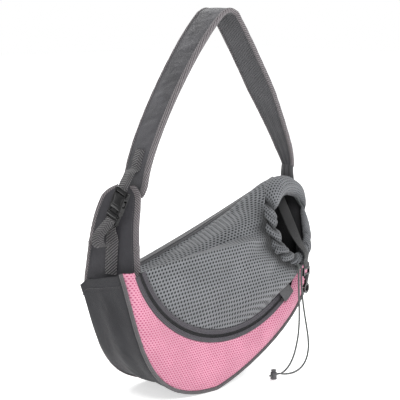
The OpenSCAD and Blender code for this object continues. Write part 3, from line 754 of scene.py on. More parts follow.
# ---------------------------------------------------------------- cover and collar
OPENING_C = arr(157, -60, 282)
OPENING_N = unit(arr(0.2, -0.93, 0.28))
OPENING_H = unit(np.cross(arr(0, 0, 1), OPENING_N))
OPENING_V = np.cross(OPENING_N, OPENING_H)
OPENING_RX, OPENING_RZ = 51.0, 57.0


def roll_r(a):
    left = np.exp(-(((np.degrees(a) % 360) - 200) / 48) ** 2)
    return 11.5 + 6 * np.maximum(0, np.sin(a)) ** 2 - 3.5 * np.cos(a) + 3.5 * left


def ring(a, out=0.0, back=0.0):
    a = np.asarray(a, float)
    r = roll_r(a) + out
    back = np.broadcast_to(back, a.shape)
    return (OPENING_C + OPENING_H * ((OPENING_RX + r) * np.cos(a))[..., None]
            + OPENING_V * ((OPENING_RZ + r) * np.sin(a))[..., None] - OPENING_N * back[..., None])


COVER_OFF = -11.0
END_CURVE = arr(zip_point(ZIP_RIGHT, COVER_OFF), (184, -58, 182), (230, -36, 228), (197, 13, 355.5))
EDGE_PARTS = (20, 8, 16, 3)
# Place along the cover's outer edge against the angle round the opening, in degrees.
EDGE_KEYS = (0, 10, 20, 24, 28, 36, 44, 47)
EDGE_ANGLES = (188, 216, 280, 345, 425, 500, 540, 548)


def hem_front(v):
    return hem(v) + arr(0, -4.5, 0.6)


def cover_edge(s):
    """Point on the cover's outer edge; s counts 0..47 round it, from the zip's left end."""
    n0, n1, n2, n3 = np.cumsum(EDGE_PARTS)
    arc = zip_point(lerp(ZIP_LEFT, ZIP_RIGHT, np.clip(s / n0, 0, 1)), COVER_OFF, ZIP_Y + 0.6)
    end = bez(END_CURVE, np.clip((s - n0) / (n1 - n0), 0, 1))
    back = hem_front(lerp(1, 0.04, np.clip((s - n1) / (n2 - n1), 0, 1)))
    left = lerp(hem_front(arr(0.04)), zip_point(arr(ZIP_LEFT), COVER_OFF, ZIP_Y + 0.6),
                np.clip((s - n2) / (n3 - n2), 0, 1)[..., None])
    pick = np.digitize(s, (n0, n1, n2))[..., None]
    return np.where(pick == 0, arc, np.where(pick == 1, end, np.where(pick == 2, back, left)))


# Creases of the gathered cloth round the opening: angle and half-width in degrees, and depth.
CREASES = ((149, 5.5, 1.0), (164, 2.4, 0.4), (178, 4.6, 1.0), (201, 5.4, 1.0), (213, 2.2, 0.4), (226, 4.2, 0.9),
           (248, 5.6, 1.0), (262, 2.2, 0.4), (276, 4.2, 0.8), (300, 3.4, 0.6), (328, 3.6, 0.5), (20, 5.0, 1.0))


def ruffle(a, skew=0.0):
    """Height of the gathered cloth round the opening: 1 on a puff, down towards 0 in a crease."""
    deg = np.degrees(a) + skew
    out = np.ones(np.shape(deg))
    for centre, width, depth in CREASES:
        x = np.abs((deg - centre + 180) % 360 - 180) / width
        out = out - depth * (0.6 * np.exp(-x ** 1.5) + 0.4 * np.exp(-(x / 2.4) ** 2))
    return out


def shoulder(a):
    """1 at the upper right of the opening, where the top roll bulges before it turns down."""
    return np.exp(-(((np.degrees(a) + 180) % 360 - 180 - 45) / 27) ** 2)


def corner_shift(a):
    """Widens the opening's upper right corner and thickens the roll inwards on the right."""
    wide = shoulder(a)[..., None] * (OPENING_H * 11 + OPENING_V * 4)
    right = np.exp(-(((np.degrees(a) + 180) % 360 - 180 + 8) / 24) ** 2)[..., None]
    return wide - OPENING_H * 5 * right


def around(a):
    return unit(OPENING_H * np.cos(a)[..., None] + OPENING_V * np.sin(a)[..., None])


# Folds of the slack cover: start and end (x, z), half-width and depth.
COVER_FOLDS = ((20, 262, 112, 240, 15, 7.0), (-60, 222, 60, 236, 18, 4.0), (60, 205, 125, 216, 13, 4.0),
               (-20, 300, 70, 322, 16, 4.0), (0, 238, 80, 222, 14, -3.0))


def cover_rows():
    """The cover's cloth as points [round the edge, from the edge to the opening], with the painted shade at each point.
    """
    total = sum(EDGE_PARTS)
    s = np.linspace(0, total, 481)[:-1]
    a = np.radians(np.interp(s, EDGE_KEYS, EDGE_ANGLES))
    o = cover_edge(s)
    top = smooth(0.2, 0.75, np.sin(a))
    r = roll_r(a)
    q = ring(a, lerp(0.2, 0.93, top) * r, lerp(0.22, 0.0, top) * r) + corner_shift(a)
    far = np.linalg.norm(o - q, axis=1)[:, None]
    outward = around(a)
    puff = unit(arr(-0.1, -0.75, 0.65))
    neck = np.minimum(30, far * 0.35)
    ridge = (1 - top)[:, None] * np.minimum(34, far * 0.3)
    c1 = lerp(o, q, 0.33) + puff * (1.5 + 0.07 * far)
    c2 = q - OPENING_N * (neck * top[:, None] - 0.75 * ridge) + outward * ridge + puff * 2
    k = span(65) ** 0.9
    p = np.stack([bez(arr(o[i], c1[i], c2[i], q[i]), k) for i in range(len(s))])
    near = (smooth(0.5, 0.95, k)[None] * (1 - 0.9 * top)[:, None])[..., None]
    p = p + outward[:, None] * (7.0 * (ruffle(a, 4)[:, None] - 0.8)[..., None] * near)
    bulge = np.exp(-((np.degrees(a) - 482) / 26) ** 2)[:, None] * np.sin(math.pi * k ** 1.3)[None]
    p = p + arr(0, -0.1, 1) * (13 * bulge)[..., None]
    fall = lerp(HEM_LEFT[1], HEM_RIGHT[1], (p[..., 0] - HEM_LEFT[0]) / (HEM_RIGHT[0] - HEM_LEFT[0])) - p[..., 1]
    dip = smooth(3, 28, fall) * (1 - smooth(48, 105, fall)) * (1 - smooth(70, 150, p[..., 0]))
    p = p - arr(0, 0, 1) * (11 * dip)[..., None]
    fold = np.zeros(p.shape[:2])
    for ax, az, bx, bz, width, deep in COVER_FOLDS:
        along = unit(arr(bx - ax, bz - az))
        rel = p[..., [0, 2]] - arr(ax, az)
        run = rel @ along
        off = rel @ arr(-along[1], along[0])
        size = math.hypot(bx - ax, bz - az)
        fold = fold + deep * np.exp(-(off / width) ** 2) * np.exp(-((run / size - 0.5) / 0.42) ** 4)
    p = p - puff * (fold * (np.sin(math.pi * k) ** 0.5)[None])[..., None]
    wrinkle = ripple(p, 80, 43) * (np.sin(math.pi * k) ** 0.5)[None]
    p = p + puff * (2.6 * wrinkle)[..., None]
    zipped = smooth(0, 0.6, s)[:, None] * smooth(0, 0.6, EDGE_PARTS[0] - s)[:, None]
    gathers = np.sin(s[:, None] * 19 + 2 * np.sin(s[:, None] * 3.1)) * np.exp(-k / 0.05)[None] * smooth(0, 0.02, k)
    p = p + puff * (1.1 * gathers * zipped)[..., None]
    # Painted shade: darkens the cloth where it tucks behind the roll and in the creases beside the roll.
    tucked_shade = smooth(0.74, 0.93, k)[None] * (1 - top)[:, None]
    groove_shade = np.exp(-((k[None] - 0.85) / 0.12) ** 2) * (1 - ruffle(a, 4))[:, None] * (1 - top)[:, None]
    return s, k, p, np.clip(0.95 * tucked_shade + 0.6 * groove_shade, 0, 1)


def cover_cloth():
    s, k, p, crease = cover_rows()
    uv = np.stack([p[..., 0], p[..., 1] * 0.65 + p[..., 2] * 0.76], 2)
    ob = grid_object("cover_mesh_cloth", p, uv=uv, wrap_u=True, facing=(0, -0.75, 0.65), crease=crease)
    thicken(ob, 1.6, lining="lining_knit")
    dress(ob, "grey_mesh", None, ["mesh_cover", "cover_left"])
    bends_with_cover(ob)
    cover_band(s, p)


BAND_ROWS = arr(0, 3, 7, 11, 15, 19, 20.5)


def cover_band(s, p):
    """Nylon facing sewn over the cover's edge along the hem, with its line of stitches."""
    n1, n2 = sum(EDGE_PARTS[:2]), sum(EDGE_PARTS[:3])
    rows = p[(s > n1 + 0.3) & (s < n2 + 0.6)]
    nor = grid_normals(rows)
    if (nor.mean((0, 1)) @ arr(0, -0.75, 0.65)) < 0:
        nor = -nor
    lift = arr(0.9, 1.7, 2.0, 2.0, 1.9, 1.5, 0.2)
    out = []
    for line, n in zip(rows, nor):
        d = lengths(line)
        at = [np.array([np.interp(w, d, v[:, i]) for i in range(3)]) for w in BAND_ROWS for v in (line, n)]
        out.append([at[2 * i] + unit(at[2 * i + 1]) * lift[i] for i in range(len(BAND_ROWS))])
    band = np.array(out)
    band = band + arr(0, 0, 0.5) * ripple(band, 34, 44)[..., None]
    ob = grid_object("cover_edge_band", band, facing=(0, -0.75, 0.65))
    thicken(ob, 1.0)
    bends_with_cover(dress(subdivide(ob), "hem_nylon", None))
    line = lerp(band[:, 4], band[:, 5], 0.3)
    up = np.broadcast_to(unit(arr(0, -0.6, 0.8)), line.shape)
    bends_with_cover(stitches("cover_edge_stitches", [(line + up[0] * 0.4, up)]))
    hinge_strip(band)


HINGE_ROWS = arr((0, 4.6, -3.0), (0, 4.5, 1.3), (0, 2.2, 3.9), (0, -2.6, 3.9))


def hinge_strip(band):
    """Nylon fold from the back hem over the cover's edge."""
    v = span(121, 0.18, 0.995)
    h = hem(v)
    order = np.argsort(band[:, 0, 0])
    on_cover = [np.stack([np.interp(h[:, 0], band[order, row, 0], band[order, row, i]) for i in range(3)], 1)
                + arr(0, 0, 1.1) for row in (2, 3)]
    rows = np.stack([h + r for r in HINGE_ROWS] + on_cover, 1)
    fine = np.array([resample(r, 22) for r in rows])
    ob = grid_object("cover_hinge_fold", fine, facing=(0, 0, 1))
    thicken(ob, 0.8)
    dress(ob, "hem_nylon", None)
    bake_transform(ob)


def collar():
    a = np.linspace(0, 2 * math.pi, 721)[:-1]
    b = np.linspace(0, 2 * math.pi, 41)[:-1]
    A, B = np.meshgrid(a, b, indexing="ij")
    f = ruffle(A, 6 * np.sin(B) + 3 * np.sin(2 * B + 1 + A) + 2 * np.sin(3 * B + 5 * A))
    r = roll_r(A) - 1.0 * shoulder(A) - 1.5 * np.exp(-(((np.degrees(A) + 180) % 360 - 180) / 30) ** 2)
    outward = around(A)
    depth = 0.8 * (0.85 + 0.15 * np.sin(B + 0.6))
    swell = r * (1.12 - depth * (1 - f))
    puckers = 0.5 * np.sin(A * 61 + 2 * np.sin(A * 7)) * np.maximum(0, -np.sin(B + 0.3)) ** 2
    slack = 0.5 * ripple(np.stack([A * 60, B * 12], -1), 18, 51)
    swell = swell + slack + puckers
    c = ring(A, -2.0 * (1 - f)) + corner_shift(A)
    p = c + OPENING_N * (swell * np.cos(B))[..., None] + outward * (swell * np.sin(B))[..., None]
    uv = np.stack([A * 68, B * 15], 2)
    # Painted shade: the crease attribute darkens the roll's creases.
    ob = grid_object("hood_collar_roll", p, uv=uv, wrap_u=True, wrap_v=True, crease=np.clip(1 - f, 0, 1) ** 1.5 * 0.9)
    return dress(ob, "collar_mesh", "cover", ["hood_collar"])


def head_end():
    """The bag's end behind the head opening, from the back panel's edge to the cover's."""
    v, w = span(41), span(21)
    low = outline(arr(1.0), depth_at(arr(1.0)) + GAP + 1.5, -1.5)[0] + arr(-2.5, 0, -9)
    back = lerp(low, hem(1.0), v[:, None]) + np.stack([0 * v, 6 * np.sin(math.pi * v) ** 0.9, 0 * v], 1)
    front = resample(arr((216, -46, 188), (219, -46, 200), (222, -42, 232), (218, -26, 275), (210, -4, 320), (198, 14, 354)), 41)
    p = lerp(back[:, None], front[:, None], w[None, :, None])
    p[..., 0] += 4 * np.sin(math.pi * w)[None] * np.sin(math.pi * v)[:, None]
    p = p + arr(1, 0, 0) * (0.8 * ripple(p, 45, 47) * np.sin(math.pi * w)[None])[..., None]
    ob = grid_object("head_end_mesh", p, uv=p[..., [1, 2]], facing=(1, 0, 0))
    thicken(ob, 1.6, lining="lining_knit")
    return dress(subdivide(ob), "pink_mesh", "bag")


# ---------------------------------------------------------------- zip
def arc_frames(deg):
    a = np.radians(deg)
    radial = np.stack([np.cos(a), np.zeros_like(a), np.sin(a)], 1)
    return radial, np.broadcast_to(arr(0, -1, 0), radial.shape)


# Height of a tape's front face against the distance from the zip's middle.
TAPE_PROFILE = arr((3.0, 0.2), (3.3, 1.0), (4.2, 1.5), (5.1, 1.0), (5.6, 0.5), (6.3, 1.0), (7.0, 1.25),
                   (7.7, 1.0), (8.3, 0.5), (9.0, 0.75), (9.8, 0.85), (10.8, 0.7), (11.6, 0.4), (11.8, -0.2),
                   (11.0, -0.6), (7.0, -0.6), (3.4, -0.5))


def zip_tape(name, side, replaced):
    deg = span(260, ZIP_LEFT, ZIP_RIGHT)
    radial, nor = arc_frames(deg)
    path = zip_point(deg, 0, ZIP_Y)
    sec = TAPE_PROFILE * arr(side, 1)
    wave = 0.2 * ripple(path, 40, 61)
    ob = sweep(name, path + nor * (0.6 + wave)[:, None], sec, radial, nor)
    return dress(ob, "zip_tape", None, replaced)


def zip_coil(name, side, replaced):
    """One row of the chain: a bead per turn of the coil."""
    pitch = 1.9
    count = int(math.radians(ZIP_RIGHT - ZIP_LEFT) * ZIP_R / pitch)
    verts, faces = [], []
    shape = [(x, w, h) for x, w, h in ((-0.1, 0.5, 0.5), (0.5, 0.75, 1.0), (2.2, 0.75, 1.0), (3.2, 0.6, 0.4))]
    for k in range(count):
        deg = lerp(ZIP_LEFT, ZIP_RIGHT, (k + (0.5 if side > 0 else 0)) / count)
        radial, nor = arc_frames(arr(deg))
        along = np.cross(radial[0], nor[0])
        c = zip_point(deg)
        base = len(verts)
        for x, w, h in shape:
            for dx, dh in ((-w, -0.3), (-w * 0.8, h * 0.8), (0, h), (w * 0.8, h * 0.8), (w, -0.3)):
                verts.append(c + radial[0] * side * x + along * dx * 0.62 + nor[0] * (dh + 0.4))
        for i in range(3):
            for j in range(5):
                q, j2 = base + i * 5, (j + 1) % 5
                quad = (q + j, q + j2, q + 5 + j2, q + 5 + j)
                faces.append(quad if side > 0 else quad[::-1])
        ends = (tuple(base + j for j in range(5)), tuple(base + 15 + j for j in range(5)))
        faces.append(ends[0][::-1] if side > 0 else ends[0])
        faces.append(ends[1] if side > 0 else ends[1][::-1])
    return dress(link_mesh(name, verts, faces), "coil", None, replaced)


def zip_pieces():
    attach(zip_tape("zip_lower_tape", 1, ["zip_tape_lower"]), "bag")
    bends_with_cover(zip_tape("zip_upper_tape", -1, ["zip_tape_upper", "zip_tape_left"]))
    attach(zip_coil("zip_lower_coil", 1, ["zip_chain"]), "bag")
    bends_with_cover(zip_coil("zip_upper_coil", -1, ["zip_chain"]))
    deg = span(160, ZIP_LEFT + 0.5, ZIP_RIGHT - 0.5)
    nor = arc_frames(deg)[1]
    dress_thread(stitches("zip_lower_stitches", [(zip_point(deg, 10.3, ZIP_Y - 1.4), nor)]), "bag")
    bends_with_cover(stitches("zip_upper_stitches", [(zip_point(deg, -10.3, ZIP_Y - 1.4), nor)]))


def at_zip(deg, across, depth, along):
    """Point near the zip: distance out from its middle, depth towards the front, distance along it."""
    radial, nor = arc_frames(arr(deg))
    return zip_point(deg) + radial[0] * across + nor[0] * depth + np.cross(radial[0], arr(0, 1, 0)) * along


def zip_tab():
    deg = 310.8
    i, j = np.meshgrid(span(17, -1, 1), span(15, -1, 1), indexing="ij")
    lo, hi = -19, 9
    across = lerp(lo, hi, (j + 1) / 2)
    depth = 8.6 + 0.9 * np.cos(i * 1.4) + 0.5 * np.cos(j * 1.5) + 0.3 * ripple(np.stack([i * 13, j * 12], -1), 12, 71)
    p = np.stack([[at_zip(deg, across[a, b], depth[a, b], 14.5 * i[a, b]) for b in range(15)] for a in range(17)])
    ob = grid_object("zip_end_tab_cloth", p, facing=(0, -1, 0))
    thicken(ob, 1.4)
    subdivide(ob)
    dress(ob, "hem_nylon", "tab", ["zip_end_tab"])
    square = [(-12.3, -10.5), (-12.3, 6.8), (12.3, 6.8), (12.3, -10.5)]
    line = []
    for (a0, b0), (a1, b1) in zip(square, square[1:]):
        for t in span(12, 0, 0.95):
            line.append(at_zip(deg, lerp(b0, b1, t), 10.1, lerp(a0, a1, t)))
    line = np.array(line)
    dress_thread(stitches("zip_end_tab_stitches", [(line, np.broadcast_to(arr(0, -1, 0), line.shape))]), "tab")


# ---------------------------------------------------------------- lower strap panel and webbing
PANEL_PATH = arr((-226, 5, 222), (-220, 5, 278), (-223, 7, 339), (-188, 7.5, 383))


def panel_hw(t):
    cap = np.where(t < 0.84, 1, np.maximum(0.5, np.sqrt(np.maximum(0, 1 - ((t - 0.84) / 0.17) ** 2))))
    return lerp(57, 34, t) * cap


def panel_dir(t):
    a = np.radians(lerp(15, 25, t))
    return np.stack([np.sin(a), -np.cos(a), np.zeros_like(a)], -1)


def panel_frame(t):
    """Line, front-pointing half-width direction and inward normal of the strap panel."""
    line = bez(PANEL_PATH, t)
    d = panel_dir(t)
    return line, d, unit(np.cross(tangents(line), d))


def padded_sheet(t, j, frame_of, half, height, puff, seed, wrinkle=0.5):
    """One face of a quilted strap: stations t, positions j across (-1..1)."""
    line, d, nor = frame_of(t)
    J = j[None]
    rise = height + puff * (1 - np.abs(J) ** 2.6)
    p = line[:, None] + d[:, None] * (half[:, None] * J)[..., None]
    rise = rise + wrinkle * ripple(p, 24, seed) * (1 - J ** 4)
    return p + nor[:, None] * rise[..., None]


PANEL_LOW = -0.22    # the cloth runs on down inside the pocket


def panel_cloth_frame(t):
    """The panel's frame with its front edge flared towards the bag, and its half-width."""
    line, d, nor = panel_frame(t)
    half = panel_hw(np.maximum(t, 0))
    flare = 6.0 - 5.0 * smooth(0.7, 0.95, t)
    return line + d * (flare / 2)[:, None], d, nor, half + flare / 2


def strap_panel():
    t, j = span(84, PANEL_LOW, 1), span(25, -1, 1)
    line, d, nor, half = panel_cloth_frame(t)
    for name, height, puff, material, node in (
            ("strap_panel_nylon", -1.4, -1.6, "panel_nylon", "strap_panel"),
            ("strap_panel_backing", 2.8, 0.8, "lining_knit", "strap_panel_lining")):
        p = padded_sheet(t, j, lambda _: (line, d, nor), half - 3.0, height, puff, 81, 0.6)
        ob = grid_object(name, p, facing=(-1 if puff < 0 else 1, 0, 0))
        thicken(ob, 1.2)
        dress(subdivide(ob), material, "bag", [node])
    for name, side, width, node in (
            ("strap_panel_edge_front", 1, 11.0, "strap_panel_binding_front"),
            ("strap_panel_edge_back", -1, 7.5, "strap_panel_binding_back")):
        edge = line + side * d * (half + 0.3 - width / 2)[:, None] + nor * 0.6
        flat = unit(np.cross(nor, tangents(edge)))
        ob = sweep(name, edge, rounded_rect(width, 6.4, 2.2, 4), flat, nor)
        dress(ob, "binding_tape", "bag", [node])
    runs = []
    for side, inset in ((1, 12.6), (-1, 9.0)):
        edge = line + side * d * (half - inset)[:, None] - nor * 2.9
        runs.append((edge[18:-9], -nor[18:-9]))
    dress_thread(stitches("strap_panel_stitches", runs), "bag")


BUCKLE_O = arr(-221.5, -11, 352)
BUCKLE_TILT, BUCKLE_LEAN = math.radians(14), math.radians(16)
BUCKLE_X = arr(math.cos(BUCKLE_TILT), 0, -math.sin(BUCKLE_TILT))
BUCKLE_Y = arr(math.sin(BUCKLE_LEAN) * math.sin(BUCKLE_TILT), math.cos(BUCKLE_LEAN),
               math.sin(BUCKLE_LEAN) * math.cos(BUCKLE_TILT))
BUCKLE_Z = np.cross(BUCKLE_X, BUCKLE_Y)
WEB_W, WEB_T = 25.0, 1.8


def on_buckle(x, y, z):
    return BUCKLE_O + BUCKLE_X * x + BUCKLE_Y * y + BUCKLE_Z * z


def webbing_pieces():
    t = span(8, 0.06, 0.41)
    lower = bez(PANEL_PATH, t) + arr(-4.6, -5.3, 0)
    path = np.vstack([lower, on_buckle(2.6, -1, -37), on_buckle(4.2, 0, -29.5), on_buckle(3.0, 0, -25.5),
                      on_buckle(-2.6, 0, -24.5), on_buckle(-4.4, 0, -29)])
    across = np.vstack([panel_dir(t), np.tile(-BUCKLE_Y, (5, 1))])
    n = 70
    at = resample(np.hstack([path, across * 50]), n)
    path, across = at[:, :3], unit(at[:, 3:])
    nor = unit(np.cross(tangents(path), across))
    ob = band_object("anchor_webbing_tape", path, across, nor, WEB_W, WEB_T)
    dress(ob, "anchor_web", "bag", ["anchor_webbing"])
    box_u = [(-9.5, 0.02), (9.5, 0.02), (9.5, 0.2), (-9.5, 0.2), (-9.5, 0.02), (9.5, 0.2)]
    line = []
    for (a0, f0), (a1, f1) in zip(box_u, box_u[1:]):
        for f in span(14, 0, 0.96):
            k = lerp(f0, f1, f) * (n - 1)
            i = int(k)
            line.append(lerp(path[i], path[i + 1], k - i) + across[i] * lerp(a0, a1, f) + nor[i] * -1.15)
    line = np.array(line)
    dress_thread(stitches("anchor_webbing_stitches", [(line, np.broadcast_to(arr(-1, 0, 0), line.shape))]), "bag")
    tail = np.vstack([on_buckle(-4.3, 0, -29), (-239, 1, 317), (-246, 5, 308), (-250, 8, 298),
                      (-249.5, 8, 288), (-244, 5, 282), (-238, 2, 284)])
    tail = resample(tail, 60)
    across = unit(lerp(-BUCKLE_Y, arr(0.5, -0.8, 0.25), span(60)[:, None]))
    nor = unit(np.cross(tangents(tail), across))
    dress(band_object("webbing_tail_tape", tail, across, nor, WEB_W, WEB_T), "webbing", "bag",
          ["webbing_tail"])


def loop_object(name, half_w, z0, z1, radius, x):
    """Rounded rectangular ring of round bar in the buckle's plane."""
    a = np.linspace(0, 2 * math.pi, 65)[:-1]
    y = np.sign(np.cos(a)) * np.abs(np.cos(a)) ** 0.35 * half_w
    z = (z0 + z1) / 2 + np.sign(np.sin(a)) * np.abs(np.sin(a)) ** 0.5 * (z1 - z0) / 2
    path = np.array([on_buckle(x, b, c) for b, c in zip(y, z)])
    out = np.broadcast_to(-BUCKLE_X, path.shape)
    side = unit(np.cross(tangents(path, True), out))
    c = np.arange(12) * math.pi / 6
    section = np.stack([np.cos(c) * radius, np.sin(c) * radius * 0.85], 1)
    return sweep(name, path, section, side, out, wrap=True)


def buckle_mouldings():
    """Domed face, ribbed grip and round bars over the buckle's working parts."""
    j, k = np.meshgrid(span(25, -1, 1), span(33), indexing="ij")
    z = lerp(-4.5, 21.5, k)
    half = 14.5 - 3.2 * np.sin(math.pi * k) ** 1.5
    dome = (1 - np.abs(j) ** 2.4) * smooth(0, 0.12, k) * smooth(0, 0.12, 1 - k)
    ribs = 0.35 * np.sin(k * 40) * (1 - smooth(0.28, 0.42, k)) * (1 - j ** 4)
    p = BUCKLE_O - BUCKLE_X * (4.4 + 2.0 * dome + ribs * dome)[..., None]
    p = p + BUCKLE_Y * (half * j)[..., None] + BUCKLE_Z * z[..., None]
    ob = grid_object("buckle_face", p, facing=(-1, 0, 0))
    thicken(ob, 0.8)
    pieces = [ob, loop_object("buckle_top_bar", 17.5, 20.5, 30.5, 2.5, -1.5),
              loop_object("buckle_ladder_bar", 15.5, -30.5, -11.5, 2.2, -1.0)]
    grip = np.array([on_buckle(-4.4 - 0.8 * math.cos(b * 1.2), 14.5 * b, -15.5) for b in span(21, -1, 1)])
    c = np.arange(12) * math.pi / 6
    section = np.stack([np.cos(c) * 3.6, np.sin(c) * 1.7], 1)
    up = np.broadcast_to(BUCKLE_Z, grip.shape)
    pieces.append(sweep("buckle_ladder_grip", grip, section, up, np.broadcast_to(-BUCKLE_X, grip.shape)))
    for piece in pieces:
        dress(piece, "buckle", "bag")


def keeper():
    """Elastic across the panel's inner side, folded over both edges."""
    line, d, nor, half = (v[1] for v in panel_cloth_frame(arr(0.33, 0.34, 0.35)))
    side, lip = half - 0.6, 5.0
    corners_2d = arr((side - lip, -3.6), (side - 1.5, -3.6), (side, -2), (side, 3.6), (side - 1.5, 5.0),
                     (1.5 - side, 5.0), (-side, 3.6), (-side, -2), (1.5 - side, -3.6), (lip - side, -3.6))
    d_2d = lengths(corners_2d)
    at = np.stack([np.interp(np.linspace(0, d_2d[-1], 140), d_2d, corners_2d[:, i]) for i in (0, 1)], 1)
    path = line + d * at[:, :1] + nor * at[:, 1:]
    up = np.broadcast_to(arr(0, 0, 1), path.shape)
    out = unit(np.cross(tangents(path), up))
    ob = sweep("keeper_elastic", path, rounded_rect(10, 1.3, 0.5, 3), up, out)
    dress(ob, "binding_tape", "bag", ["keeper_band"])


# ---------------------------------------------------------------- shoulder strap
STRAP_TOP = 680
STRAP_LEFT = arr((-171, 366), (-186, 432), (-48, STRAP_TOP - 44), (8, STRAP_TOP))
STRAP_RIGHT = arr((40, STRAP_TOP), (81, STRAP_TOP - 52), (210, 424), (213, 382))
STRAP_HW = 35.0
BAIL_Z = 397.0


def strap_path(n):
    left, right = bez(STRAP_LEFT, span(60)), bez(STRAP_RIGHT, span(60))
    flat = np.vstack([left, (24, STRAP_TOP + 6), right])
    p = resample(flat, n)
    return np.stack([p[:, 0], np.zeros(n), p[:, 1]], 1)


def strap_frame(n=220):
    path = strap_path(n)
    d = lengths(path) / lengths(path)[-1]
    a = np.radians(np.interp(d, (0, 0.25, 0.5, 1), (-6, -4, 0, 0)))
    across = np.stack([-np.sin(a), np.cos(a), np.zeros(n)], 1)
    drop = BAIL_Z - path[:, 2]
    half = np.interp(d, (0, 0.77, 0.95, 1), (STRAP_HW, STRAP_HW, 21, 13))
    left = (d < 0.5) & (drop > 0)
    half = np.where(left, np.minimum(half, np.sqrt(np.maximum(4, (STRAP_HW + 1) ** 2 - drop ** 2))), half)
    nor = unit(np.cross(tangents(path), across))
    return path, across, nor, half, d


def strap_piece(ob):
    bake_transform(ob)
    return ob


def shoulder_strap():
    path, across, nor, half, d = strap_frame()
    j = span(29, -1, 1)[None]
    for name, side, material, slot, nodes in (
            ("strap_outer_nylon", 1, "strap_nylon", "strap_nylon", ["strap_outer", "strap_foam"]),
            ("strap_inner_mesh", -1, "strap_lining", "strap_mesh", ["strap_lining"])):
        p = path[:, None] + across[:, None] * ((half - 3)[:, None] * j)[..., None]
        stretch = p * arr(1, 0.45, 1)
        wrinkle = ripple(stretch, 22, 91 if side > 0 else 92) * (1 - np.abs(j) ** 5)
        gather = smooth(0.72, 0.95, d)[:, None] * np.sin(j * 9)
        rise = side * (2.6 + 1.5 * (1 - np.abs(j) ** 2.4)) + 0.55 * wrinkle + 0.9 * gather * side
        p = p + nor[:, None] * rise[..., None]
        ob = grid_object(name, p, facing=None)
        outward = (grid_normals(p) * nor[:, None]).sum(2).mean() * side
        if outward < 0:
            ob.data.flip_normals()
        thicken(ob, 1.2)
        strap_piece(dress(subdivide(ob), material, None, nodes))
    for name, side, node in (("strap_edge_front", -1, "strap_binding_front"),
                             ("strap_edge_back", 1, "strap_binding_back")):
        width = np.interp(d, (0, 0.4, 0.56, 1), (11, 11, 6.4, 6)) if side < 0 else np.full(len(d), 5.6)
        sec = rounded_rect(1, 8.4, 0, 5)[None] * np.stack([width - 5.2, np.full(len(d), 0.38)], 1)[:, None]
        sec = sec + (rounded_rect(5.2, 5.2, 2.6, 5))[None]
        edge = path + side * across * (half + 0.4 - width / 2)[:, None]
        wave = 0.3 * ripple(edge, 20, 95)
        flat = unit(np.cross(nor, tangents(edge)))
        grow = (1 + 0.05 * wave)[:, None, None]
        strap_piece(dress(sweep(name, edge + nor * wave[:, None], sec * grow, flat, nor), "binding_tape",
                          None, [node]))
    runs = []
    for side in (1, -1):
        for face in (1, -1):
            edge = path + side * across * (half - 5.6)[:, None] + nor * (face * 3.9)
            runs.append((edge[4:-6], nor[4:-6] * face))
    strap_piece(stitches("strap_edge_stitches", runs))


def upper_webbing():
    sewn = [(p[0] - 5.6, 0, p[1] + 1.6) for p in bez(STRAP_LEFT, arr(0.27, 0.22, 0.17))]
    free = [(-186, -2, 407), (-198, -8, BAIL_Z), (-206, -12, 391), (-213, -16, 383)]
    end = [on_buckle(4.2, 0, 27), on_buckle(0, 0, 24), on_buckle(-3.5, 0, 26.5)]
    path = resample(np.array(sewn + free + end), 60)
    turn = smooth(0.3, 0.75, span(60))[:, None]
    across = unit(lerp(np.broadcast_to(arr(0, 1, 0), path.shape), BUCKLE_Y, turn))
    nor = unit(np.cross(tangents(path), across))
    ob = band_object("upper_webbing_tape", path, across, nor, WEB_W, WEB_T)
    strap_piece(dress(ob, "webbing", None, ["upper_webbing"]))


def right_root():
    root = arr((224, 0, 193), (228, 0, 250), (220, 4, 310), (213, 2, 366))
    t = span(80)
    path = bez(root, t) + arr(0, 0, 4)
    tip = path[-1] + arr(-0.5, -1, 16)
    path = resample(np.vstack([path, tip]), 90)
    t = span(90)
    half = lerp(depth_at(arr(1.0))[0] - 3, 15, t ** 0.7)
    j = span(41, -1, 1)[None]
    across = np.broadcast_to(arr(0, 1, 0), path.shape)
    nor = unit(np.cross(across, tangents(path)))
    fold = np.sin(j * 10 + 0.6 * np.sin(t[:, None] * 5)) * smooth(0.1, 0.8, t)[:, None]
    rise = -1.5 - 3.0 * (1 - j ** 2) * 0.3 + 1.6 * fold
    p = path[:, None] + across[:, None] * (half[:, None] * j)[..., None]
    p = p + nor[:, None] * (rise * np.sign(-1) * -1)[..., None]
    ob = grid_object("right_strap_root_cloth", p, facing=(1, 0, 0))
    thicken(ob, 1.8)
    dress(subdivide(ob), "hem_nylon", "bag", ["right_strap_root"])


# ---------------------------------------------------------------- tether, cords and hardware
RIM = arr(166, -93.5, 211)
HOOK_TURN = math.radians(18)
TETHER_ACROSS = arr(math.cos(HOOK_TURN), math.sin(HOOK_TURN), 0)
TETHER_W = 19.0
EYE_TOP = 201.0


def tether():
    path = arr((172, -14, 330), (175, -32, 296), (176, -53, 262), (174, -70, 243), (170, -84, 235),
               (169, -93, 226), RIM + arr(0, 0, 2))
    for name, points, body, nodes in (
            ("tether_inner_webbing", path, "cover", ["tether_anchor"]),
            ("tether_webbing_loop", arr(RIM + arr(0, 0, 3), RIM + arr(0.5, -0.5, -3),
                                        (RIM[0] + 1, RIM[1] - 1, EYE_TOP - 1.2)), "tether", ["tether_webbing"])):
        line = resample(points, 50)
        open_side = (1 - smooth(0.35, 0.85, span(50)))[:, None] if body == "cover" else 0
        across = unit(TETHER_ACROSS + open_side * (arr(0.8, -0.55, 0.1) - TETHER_ACROSS))
        across = np.broadcast_to(across, line.shape)
        nor = unit(np.cross(tangents(line), across))
        dress(band_object(name, line, across, nor, TETHER_W, 1.8), "black_webbing", body, nodes)


